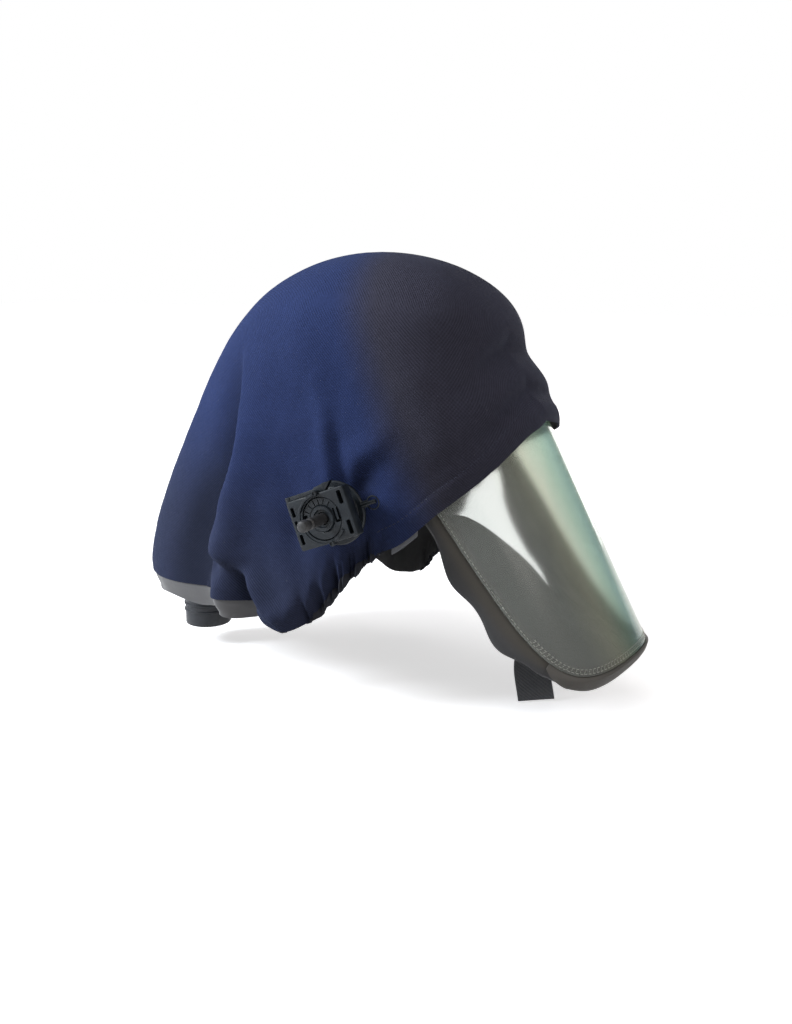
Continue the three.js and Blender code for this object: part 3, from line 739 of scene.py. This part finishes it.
def sealPlace(u, v):
    way = seal["ends"] + (1 - 2 * seal["ends"]) * u
    along, across = u * seal["uvSize"][0], v * seal["uvSize"][1]
    loose = smooth(v, *slack["loose"]) * (1 - smooth(v, *slack["held"]))
    sag = slack["sag"] * loose * ripple(along, across, 21, 7, slack["sagPitch"])
    crease = seal["crease"] * bell((v - seal["creaseAt"]) / seal["creaseWide"])
    turnBack = bell((v - slack["turnAt"]) / slack["turnSpread"])
    turnBack = turnBack * (1 - smooth(chinShare(way), *slack["calm"]))
    wave = slack["wave"] * np.sin(along / slack["waveLength"] + slack["waveStart"])
    wave = wave * bell((chinShare(way) - slack["waveAt"]) / slack["waveSpread"])
    wave = wave + slack["uneven"] * ripple(along, np.zeros_like(v), 5, 5, slack["unevenPitch"])
    sideways = besideOutline(way, 1, seal["margin"]) - besideOutline(way, 0, seal["margin"])
    points = throughStations(sealStations(way), v)
    return points + (wave * turnBack)[:, None] * sideways + (sag - crease)[:, None] * visorOut


faceSeal = makeSheet("faceSeal", seal, sealPlace, sealCloth, "face_seal")

# chin band folded over the seal's lower edge
band = {
    "ends": (0.32, 0.68), "slant": 0.04, "slantOver": (0.15, 0.8), "fullIn": 0.1, "columns": 150, "rows": 36,
    "wall": 1.3, "uvSize": (230, 32), "lap": 0.5, "proud": 1.9, "fuller": 1.2, "share": 0.6,
    "front": -1, "fold": 5, "back": 17, "backOver": 3,
}


def bandPlace(u, v):
    first, last = band["ends"]
    slant = band["slant"] * smooth(v, *band["slantOver"])
    way = first + slant + (last - first - 2 * slant) * u
    strip = stripWidth(way)
    proud = strip + band["proud"] + band["fuller"] * heldEnds(u, band["fullIn"])
    return throughStations([
        besideOutline(way, band["lap"], band["front"]),
        besideOutline(way, strip * band["share"], band["front"]), besideOutline(way, proud, band["fold"]),
        besideOutline(way, strip * band["share"] + band["backOver"], band["back"]),
    ], v)


chinBand = makeSheet("chinBand", band, bandPlace, greyCloth, "chin_band")

# chin tab, hanging with a twist
tab = {
    "width": 29, "columns": 24, "rows": 70, "wall": 1.6, "uvSize": (29, 84), "curl": 0.9, "curlWaves": 9,
    "curlStart": 1, "curlFrom": 0.3,
}
tabRows = {
    "share": [0, 0.35, 0.65, 1], "turn": [0, -20, -45, -55],
    "x": [0, -3, -7, -8], "y": [-138.6, -135.5, -132, -137], "z": [-262, -284, -306, -338],
}


def tabPlace(u, v):
    x, y, z, turn = (readTable(tabRows, "share", column, v) for column in ("x", "y", "z", "turn"))
    off, ahead, aside = tab["width"] * (u - 0.5), np.sin(np.radians(turn)), np.cos(np.radians(turn))
    curl = tab["curl"] * np.sin(v * tab["curlWaves"] + tab["curlStart"])
    curl = curl * (2 * u - 1) ** 2 * smooth(v, tab["curlFrom"], 1)
    return np.stack([x + off * aside - curl * ahead, y + off * ahead + curl * aside, z], -1)


chinTab = makeSheet("chinTab", tab, tabPlace, tabCloth, "chin_tab")

# neck lining below the back hem, with a floor under the nape
lining = {
    "from": 105, "to": 238, "columns": 260, "rows": 44, "wall": 1.2, "uvSize": (430, 90), "tuck": 4,
    "least": 7, "drop": 13, "wave": 1.6, "slack": 1.7, "clear": 0.5, "roll": 2.4, "leastTurn": 5, "turnIn": 5,
    "floor": 69, "floorAt": 180, "floorSpread": 15, "floorSink": 0.6, "endShare": 0.2, "rollFrom": 0.2,
    "slackFrom": 0.1, "slackLeast": 1.6,
}
liningWaves = [(1, 15, 0.6), (0.6, 26, 2)]


# down over the first half of v, then inwards over the second
def liningPlace(u, v):
    angle = lining["from"] + (lining["to"] - lining["from"]) * u
    ends = heldEnds(u, lining["endShare"])
    atFloor = bell((angle - lining["floorAt"]) / lining["floorSpread"])
    wave = waves(liningWaves, np.radians(angle))
    drop = lining["least"] + (lining["drop"] + lining["wave"] * wave) * ends
    depth = hemDepth(angle) - lining["tuck"] + np.clip(2 * v, 0, 1) * drop
    depth = depth + lining["floorSink"] * smooth(v, 0.5, 1)
    inward = lining["leastTurn"] + lining["turnIn"] * ends + lining["floor"] * atFloor
    inset = cover["wall"] + lining["clear"] + lining["roll"] * smooth(v, lining["rollFrom"], 0.5)
    inset = inset + inward * np.clip(2 * v - 1, 0, 1)
    loose = lining["slack"] * (lining["slackLeast"] + wave) * smooth(v, lining["slackFrom"], 0.5)
    return coverPoint(angle, depth, inset + loose * ends * (1 - atFloor))


neckLining = makeSheet("neckLining", lining, liningPlace, liningCloth, "neck_lining")

# elastic edging on the ear edge, drawn up into lumps
edging = {
    "from": 62, "to": 97, "columns": 240, "sides": 14, "uvSize": (90, 14), "thick": 2.3, "tall": 4.6,
    "low": 1.2, "inset": 0.9, "thin": 0.02, "taper": 0.6,
}
edgingLumps = [(0.25, 6, math.pi / 2), (0.06, 19, math.pi / 2 + 1)]


def capEnds(piece):
    editAll(piece)
    bpy.ops.mesh.select_all(action="DESELECT")
    bpy.ops.mesh.select_non_manifold()
    bpy.ops.mesh.edge_face_add()
    endFacingOut()


def makeEdging(name, side, node):
    def place(u, v):
        angle = side * (edging["from"] + (edging["to"] - edging["from"]) * u)
        turn = 2 * math.pi * v
        taper = np.clip(np.sin(math.pi * u), edging["thin"], 1) ** edging["taper"]
        lump = 1 + waves(edgingLumps, 2 * math.pi * u)
        depth = hemDepth(angle) + taper * (edging["low"] + edging["tall"] * lump * np.sin(turn))
        return coverPoint(angle, depth, edging["inset"] - edging["thick"] * taper * lump * np.cos(turn))

    piece = sheetGrid(name, edging["columns"], edging["sides"], place, edging["uvSize"])
    closeSeams(piece)
    capEnds(piece)
    shadeSmooth(piece, 60)
    return finishPiece(piece, elasticCloth, node=node)


edgings = [
    makeEdging("earEdgingRight", 1, "ear_elastic_right"), makeEdging("earEdgingLeft", -1, "ear_elastic_left"),
]
print("ear edgings")

# stitches: one small thread loop, copied along a line
stitch = {
    "length": 2.5, "pitch": 3.4, "thick": 0.42, "wide": 1.25, "lift": 0.2, "astray": 0.08,
    "uneven": (0.9, 1.08),
}


def stitchModel():
    model = added(bpy.ops.mesh.primitive_uv_sphere_add, segments=6, ring_count=5, radius=0.5)
    editAll(model)
    bpy.ops.transform.rotate(value=math.pi / 2, orient_axis="Y", center_override=(0, 0, 0))
    bpy.ops.object.mode_set(mode="OBJECT")
    points = pointsOf(model)
    faces = [list(face.vertices) for face in model.data.polygons]
    bpy.data.objects.remove(model)
    return points, faces


stitchPoints, stitchFaces = stitchModel()


def alongLine(distance, run, line):
    return np.array([np.interp(distance, run, line[:, axis]) for axis in range(3)])


def stitchRow(name, line, outs, material, seed, pitch=stitch["pitch"], length=stitch["length"],
              thick=stitch["thick"], turn=0.0):
    rng = random.Random(seed)
    run = np.concatenate([[0], np.cumsum(np.linalg.norm(np.diff(line, axis=0), axis=1))])
    verts, faces = [], []
    for d in np.arange(pitch / 2, run[-1] - pitch / 2, pitch):
        along = alongLine(min(d + 1, run[-1]), run, line) - alongLine(max(d - 1, 0), run, line)
        along = along / np.linalg.norm(along)
        out = alongLine(d, run, outs)
        out = out - along * (out @ along)
        out = out / np.linalg.norm(out)
        across = np.cross(out, along)
        slew = turn + rng.uniform(-stitch["astray"], stitch["astray"])
        lengthways = along * math.cos(slew) + across * math.sin(slew)
        sideways = across * math.cos(slew) - along * math.sin(slew)
        long = length * rng.uniform(*stitch["uneven"])
        local = stitchPoints * np.array([long, thick * stitch["wide"], thick])
        local[:, 2] += stitch["lift"] * (1 - (2 * stitchPoints[:, 0]) ** 2)
        faces += [[v + len(verts) * len(stitchPoints) for v in face] for face in stitchFaces]
        verts.append(alongLine(d, run, line) + local @ np.stack([lengthways, sideways, out]))
    mesh = bpy.data.meshes.new(name)
    mesh.from_pydata((np.concatenate(verts) * mm).tolist(), [], faces)
    piece = bpy.data.objects.new(name, mesh)
    bpy.context.scene.collection.objects.link(piece)
    shadeSmooth(piece, 80)
    return finishPiece(piece, material)


# a row beside the visor's outline, facing as the visor does at another offset
def visorRow(name, first, last, samples, offset, inset, faceAt, seed, **settings):
    way = np.linspace(first, last, samples)
    outs = besideOutline(way, faceAt, -1) - besideOutline(way, faceAt, 0)
    return stitchRow(name, besideOutline(way, offset, inset), outs, paleThread, seed, **settings)


outerRow = visorRow("visorStitchesOuter", 0.012, 0.988, 900, -1.9, -0.1, -2, 3)
innerRow = visorRow("visorStitchesInner", 0.27, 0.73, 500, -4.9, -0.1, -3, 4)
crossRow = visorRow(
    "visorStitchesCross", 0.27, 0.73, 500, -3.4, -0.05, -3, 5, length=3.0, thick=0.22, turn=1.15)
hemAngles = np.linspace(-66, 66, 700)
hemSeam = coverPoint(hemAngles, hemDepth(hemAngles) - hemBand["tall"])
hemOut = coverPoint(hemAngles, hemDepth(hemAngles) - hemBand["tall"], -1) - hemSeam
hemRow = stitchRow("hemStitches", hemSeam, hemOut, darkThread, 6, pitch=3.6, length=2.7, thick=0.45)
tackStitch = {"pitch": 0.8, "length": 4.5, "thick": 0.5, "turn": 1.4}
tacks = [
    visorRow(name, first, first + 0.015, 30, 4.5, visor["wall"] + 0.6, 5, 7, **tackStitch)
    for name, first in (("cornerTackRight", 0.03), ("cornerTackLeft", 0.955))
]
print("stitches")

# hinge bracket, modelled flat in mm: x forward, y up, z away from the head
bracketSeat = {"angle": 79, "depth": 179.6, "out": 1.2, "turn": 20.7}
cutLow, cutHigh = 10, 30  # cutting tools reach past both faces
slotFloor = 19
plate = {
    "wide": 48, "tall": 36, "low": 14.5, "face": 23.5, "corner": 1.6, "bevel": 0.8, "seat": 15.6,
    "recess": 17.4, "recessFloor": 22.9, "slotCorner": 0.9,
}
rimSlots = [  # x, y, wide, tall
    (-20.6, 10, 2.8, 7), (-20.8, 0, 2.4, 7.5), (-20.4, -10, 2.8, 7.5), (19.6, 10.8, 3.4, 9.5),
    (19.8, -10.6, 3.4, 10),
]
springArms = [(150, 88, 85), (322, 274, 278)]  # first angle, last angle, pin angle
armRing = {
    "inner": 16.7, "outer": 18.6, "low": 22.6, "high": 24.6, "bevel": 0.3, "pinAt": 18.3,
    "pin": [(2.1, 21), (2.1, 25), (1.7, 25.6), (1.2, 25.6), (1.1, 24.9)],
}
latch = {
    "low": 16.5, "high": 21, "bevel": 0.4, "lug": (-23, 19, 3.6, 4.2, 15.5, 21.4), "lugBevel": 0.5,
    "points": [(-22, 17.6), (8, 17.6), (14.6, 23.6), (0.5, 22.2), (-1, 21.2), (-22, 21)],
}
dial = {
    "face": 22.3, "bore": 4.6,
    "steps": [(15.2, 14.5), (15.2, 21.8), (14.7, 22.3), (10.2, 22.3), (9.4, 21.8), (8.9, 23.2), (6.6, 23.2),
              (6.1, 21.7), (5.6, 21.7)],
}
dialSlots = [  # x, y, wide, tall: the three sides of a U, then a notch across from it
    (10.5, 0.4, 1.5, 9), (13.7, 0.4, 1.5, 9), (12.1, -4.4, 4.7, 1.8), (-12.6, 3.4, 3.4, 4.2),
]
dialTicks = {"angles": [46, 66, 85, 103, 123, 145], "at": 12.2, "long": 3.6, "wide": 0.7, "deep": 0.7}
base = {
    "steps": [(21.4, -0.4), (23, 1.2), (23.2, 3.4), (22.4, 4.4), (19, 4.2), (17.4, 5.2), (17.4, 14.1)],
    "lug": (22, 0, 9, 5, 1.2, 4.2), "lugBevel": 0.6, "rod": 1.5, "rodLong": 12, "rodAt": (28.5, 0, 4.4),
    "rodBevel": 0.3, "loop": 4.6, "wire": 0.5, "loopAt": (32, -0.5, 4.6),
}
studSteps = [
    (4.0, 14.6), (4.0, 40), (3.6, 40.6), (3.2, 41.2), (3.2, 43.6), (4.2, 44.4), (4.3, 48.4), (3.7, 50.2),
    (2.2, 51),
]
backingSteps = [(4.2, -0.6), (4.2, -4.6), (14, -4.8), (14, -6.6), (13.4, -7)]


# a round piece drawn up from a disc through steps of radius and height
def turnedPiece(steps, segments=64):
    (radius, height), rest = steps[0], steps[1:]
    piece = added(bpy.ops.mesh.primitive_circle_add, vertices=segments, radius=radius, fill_type="NGON")
    editAll(piece)
    bpy.ops.transform.translate(value=(0, 0, height))
    for nextRadius, nextHeight in rest:
        bpy.ops.mesh.extrude_region_move(TRANSFORM_OT_translate={"value": (0, 0, nextHeight - height)})
        grow = nextRadius / radius
        bpy.ops.transform.resize(value=(grow, grow, 1), center_override=(0, 0, nextHeight))
        radius, height = nextRadius, nextHeight
    endFacingOut()
    return piece


# a flat outline raised to a block
def raisedOutline(points, low, high):
    piece = added(bpy.ops.mesh.primitive_circle_add, vertices=len(points), fill_type="NGON")
    movePoints(piece, np.array([(x, y, low) for x, y in points]))
    editAll(piece)
    bpy.ops.mesh.extrude_region_move(TRANSFORM_OT_translate={"value": (0, 0, high - low)})
    endFacingOut()
    return piece


def boxPiece(x, y, wide, tall, low, high, turn=0.0):
    piece = added(bpy.ops.mesh.primitive_cube_add, size=1)
    editAll(piece)
    bpy.ops.transform.resize(value=(wide, tall, high - low), center_override=(0, 0, 0))
    bpy.ops.transform.translate(value=(x, y, (low + high) / 2))
    if turn:
        bpy.ops.transform.rotate(value=-math.radians(turn), orient_axis="Z", center_override=(0, 0, 0))
    bpy.ops.object.mode_set(mode="OBJECT")
    return piece


def arcPoints(radius, first, last, steps, x=0.0, y=0.0):
    turns = np.radians(np.linspace(first, last, steps))
    return [(x + radius * math.cos(turn), y + radius * math.sin(turn)) for turn in turns]


# a block with rounded uprights
def roundedBox(x, y, wide, tall, low, high, corner):
    points = []
    for first, right, up in ((0, 1, 1), (90, -1, 1), (180, -1, -1), (270, 1, -1)):
        middle = x + right * (wide / 2 - corner), y + up * (tall / 2 - corner)
        points += arcPoints(corner, first, first + 90, 5, *middle)
    return raisedOutline(points, low, high)


def arcPiece(inner, outer, first, last, low, high):
    return raisedOutline(arcPoints(outer, first, last, 18) + arcPoints(inner, last, first, 18), low, high)


def bevelEdges(piece, width, angle=35):
    limit = math.radians(angle)
    applyModifier(piece, "BEVEL", width=width, segments=2, limit_method="ANGLE", angle_limit=limit)
    return piece


def cut(piece, tools):
    for tool in tools:
        applyModifier(piece, "BOOLEAN", operation="DIFFERENCE", solver="EXACT", object=tool)
        bpy.data.objects.remove(tool)
    return piece


def joined(pieces, name):
    pick(pieces[0])
    for piece in pieces[1:]:
        piece.select_set(True)
    bpy.ops.object.join()
    pieces[0].name = pieces[0].data.name = name
    return pieces[0]


def housingParts():
    body = roundedBox(0, 0, plate["wide"], plate["tall"], plate["low"], plate["face"], plate["corner"])
    bevelEdges(body, plate["bevel"])
    seat = turnedPiece([(plate["seat"], cutLow), (plate["seat"], cutHigh)])
    recess = turnedPiece([(plate["recess"], plate["recessFloor"]), (plate["recess"], cutHigh)])
    slots = [roundedBox(*slot, slotFloor, cutHigh, plate["slotCorner"]) for slot in rimSlots]
    parts = [cut(body, [seat, recess, *slots])]
    for first, last, pinAngle in springArms:
        arm = arcPiece(armRing["inner"], armRing["outer"], first, last, armRing["low"], armRing["high"])
        pin = turnedPiece(armRing["pin"], 24)
        turn = math.radians(pinAngle)
        offset = armRing["pinAt"] * np.array([math.cos(turn), math.sin(turn), 0])
        movePoints(pin, pointsOf(pin) + offset)
        parts += [bevelEdges(arm, armRing["bevel"]), pin]
    blade = raisedOutline(latch["points"], latch["low"], latch["high"])
    return parts + [bevelEdges(blade, latch["bevel"]), bevelEdges(boxPiece(*latch["lug"]), latch["lugBevel"])]


def dialParts():
    bore = turnedPiece([(dial["bore"], cutLow), (dial["bore"], cutHigh)], 40)
    slots = [boxPiece(*slot, slotFloor, cutHigh) for slot in dialSlots]
    low = dial["face"] - dialTicks["deep"]
    tick = dialTicks["at"], 0, dialTicks["long"], dialTicks["wide"], low, cutHigh
    ticks = [boxPiece(*tick, turn=angle) for angle in dialTicks["angles"]]
    return [cut(turnedPiece(dial["steps"]), [bore, *slots, *ticks])]


def baseParts():
    dish = turnedPiece(base["steps"])
    lug = bevelEdges(boxPiece(*base["lug"]), base["lugBevel"])
    rod = added(
        bpy.ops.mesh.primitive_cylinder_add, vertices=20, radius=base["rod"], depth=base["rodLong"],
        location=base["rodAt"], rotation=(0, math.pi / 2, 0))
    bpy.ops.object.transform_apply(location=True, rotation=True, scale=False)
    bevelEdges(rod, base["rodBevel"])
    loop = added(
        bpy.ops.mesh.primitive_torus_add, major_radius=base["loop"], minor_radius=base["wire"],
        major_segments=36, minor_segments=8, location=base["loopAt"])
    bpy.ops.object.transform_apply(location=True, rotation=False, scale=False)
    return [dish, lug, rod, loop]


def studParts():
    return [turnedPiece(studSteps, 40)]


def backingParts():
    return [turnedPiece(backingSteps)]


# from the flat frame to its seat on the right of the cover (side 1), or mirrored on the left (side -1)
def setBracket(piece, side):
    angle, depth = np.array([bracketSeat["angle"]]), np.array([bracketSeat["depth"]])
    seatX, seatY, seatZ = coverPoint(angle, depth, fine=False)[0]
    turn = math.radians(bracketSeat["turn"])
    forward, up, out = pointsOf(piece).T
    x = seatX - bracketSeat["out"] - out
    y = seatY - forward * math.cos(turn) + up * math.sin(turn)
    z = seatZ + forward * math.sin(turn) + up * math.cos(turn)
    movePoints(piece, np.stack([side * x, y, z], -1) * mm)
    editAll(piece)
    endFacingOut()
    shadeSmooth(piece, 32)


bracketPieces = [  # name, maker, material, slot
    ("housing", housingParts, darkPlastic, "dark_plastic"), ("dial", dialParts, darkPlastic, "dark_plastic"),
    ("base", baseParts, darkPlastic, "dark_plastic"), ("stud", studParts, paleStud, "stud_plastic"),
    ("backing", backingParts, darkPlastic, "dark_plastic"),
]
for side, label in ((1, "right"), (-1, "left")):
    for word, makeParts, material, slot in bracketPieces:
        piece = joined(makeParts(), f"bracket{word.capitalize()}{label.capitalize()}")
        setBracket(piece, side)
        body = f"dial_{label}" if word == "dial" else "hood"
        finishPiece(piece, material, body, f"bracket_{word}_{label}")
print("brackets")

# air inlet, a ribbed tube with a flange above the lining's floor
inlet = {
    "y": 176, "top": -246, "end": -322, "outer": 20, "bore": 16.5, "flange": 25, "flangeAt": -271,
    "flangeWall": 2.4, "ribs": [-297, -303, -309], "ribTall": 0.8, "sides": 72,
}


# radius and height, with small chamfers
def inletSteps():
    outer, bore, top, end = inlet["outer"], inlet["bore"], inlet["top"], inlet["end"]
    flange, over = inlet["flange"], inlet["flangeAt"]
    under, rib = over - inlet["flangeWall"], outer + inlet["ribTall"]
    steps = [(outer - 1, top), (outer, over + 0.2), (flange - 0.3, over), (flange, under + 0.4)]
    steps += [(outer + 0.2, under), (outer, under - 0.5)]
    for at in inlet["ribs"]:
        steps += [(outer, at + 1.4), (rib, at + 0.7), (rib, at - 0.7), (outer, at - 1.4)]
    steps += [(outer, end + 1), (outer - 0.4, end + 0.3), (outer - 1, end)]
    return steps + [(bore + 0.8, end), (bore, end + 0.8), (bore, top)]


# drawn down the outside and up the bore, then opened and joined at the top
def makeInlet():
    tube = turnedPiece(inletSteps(), inlet["sides"])
    editAll(tube)
    bpy.ops.mesh.select_mode(type="FACE")
    bpy.ops.mesh.select_all(action="DESELECT")
    bpy.ops.mesh.select_face_by_sides(number=inlet["sides"])
    bpy.ops.mesh.delete(type="ONLY_FACE")
    bpy.ops.mesh.select_mode(type="VERT")
    bpy.ops.mesh.select_non_manifold()
    bpy.ops.mesh.bridge_edge_loops()
    endFacingOut()
    movePoints(tube, (pointsOf(tube) + np.array([0, inlet["y"], 0])) * mm)
    tube.name = tube.data.name = "airInlet"
    shadeSmooth(tube, 40)
    finishPiece(tube, inletPlastic, node="air_inlet")


makeInlet()
print("air inlet")

# small clips inside the hem, each with a low rib across it
clip = {
    "from": 52.5, "to": 60.5, "above": 7, "below": 5, "wall": 2.2, "columns": 20, "rows": 24,
    "uvSize": (16, 12), "clear": 0.6, "rib": 0.5, "ribWide": 0.12, "bevel": 0.5,
}


def makeClip(name, side, node):
    def place(u, v):
        angle = side * (clip["from"] + (clip["to"] - clip["from"]) * u)
        depth = hemDepth(angle) - clip["above"] + (clip["above"] + clip["below"]) * v
        rib = clip["rib"] * bell((v - 0.5) / clip["ribWide"])
        return coverPoint(angle, depth, cover["wall"] + clip["clear"] + rib, False)

    piece = makeSheet(name, clip, place, palePlastic, node)
    bevelEdges(piece, clip["bevel"] * mm, 50)
    shadeSmooth(piece, 40)


makeClip("hemClipRight", 1, "hem_clip_right")
makeClip("hemClipLeft", -1, "hem_clip_left")
# floor
stage = {
    "floor": -0.3395, "wide": 12, "pale": (0.94, 0.935, 0.945, 1), "glowColor": (1, 0.995, 1, 1),
    "glow": 0.56, "ambient": 0.2,
}
floor = added(bpy.ops.mesh.primitive_plane_add, size=stage["wide"], location=(0, 0, stage["floor"]))
floor.name = "floor"
floor.visible_diffuse = False
floor.data.materials.append(newMaterial("floorPaint", {
    "Roughness": 0.9, "Base Color": stage["pale"], "Emission Color": stage["glowColor"],
    "Emission Strength": stage["glow"],
})[0])

# camera
view = {"at": (-0.7798, -0.3923, -0.0022), "tilt": 77, "turn": -64, "sensor": 36, "lens": 38.85}
viewTurn = Euler((math.radians(view["tilt"]), 0, math.radians(view["turn"])))
camera = added(bpy.ops.object.camera_add, location=view["at"], rotation=viewTurn)
camera.data.sensor_width, camera.data.lens = view["sensor"], view["lens"]
bpy.context.scene.camera = camera

# lamps round the hood, placed as the camera sees it, and a wide overhead light, even over the floor
lampMiddle = Vector((0, 0, -0.17))
lamps = [  # name, right, up, towards the camera, distance, size, watts, colour
    ("keyLamp", -1.0, 0.45, 0.3, 1.6, 0.5, 30, (0.9, 0.95, 1.0)),
    ("fillLamp", 0.5, 0.3, 0.9, 1.7, 0.9, 7, (1.0, 0.94, 0.88)),
    ("farLamp", 0.35, 0.15, -1.0, 1.7, 1.2, 14, (1.0, 0.98, 0.95)),
]
topLamp = {"from": (-0.15, 0.3, 1), "height": 2, "strength": 0.95, "spread": 75}


def addLamp(name, kind, location, way):
    lamp = added(bpy.ops.object.light_add, type=kind, location=location)
    lamp.name = name
    lamp.rotation_mode = "QUATERNION"
    lamp.rotation_quaternion = way.to_track_quat("Z", "Y")
    return lamp


for name, right, up, back, far, wide, watts, color in lamps:
    way = (viewTurn.to_matrix() @ Vector((right, up, back))).normalized()
    lamp = addLamp(name, "AREA", lampMiddle + way * far, way)
    lamp.data.shape, lamp.data.size, lamp.data.energy, lamp.data.color = "DISK", wide, watts, color
    lamp.visible_camera = lamp.visible_transmission = False
sun = addLamp("topLamp", "SUN", (0, 0, topLamp["height"]), Vector(topLamp["from"]))
sun.data.energy, sun.data.angle = topLamp["strength"], math.radians(topLamp["spread"])

# white surroundings, dimmer as a light than as they are seen
world = bpy.data.worlds.new("studio")
world.use_nodes = True
sky = world.node_tree.nodes["Background"]
sky.inputs["Color"].default_value = (1, 1, 1, 1)
seen = addNode(world.node_tree, "ShaderNodeLightPath").outputs["Is Camera Ray"]
feed(sky.inputs["Strength"], rangeOf(seen, (0, 1), (stage["ambient"], 1.0), "LINEAR"))
bpy.context.scene.world = world
bpy.context.scene.view_settings.view_transform = "Standard"
print("stage")
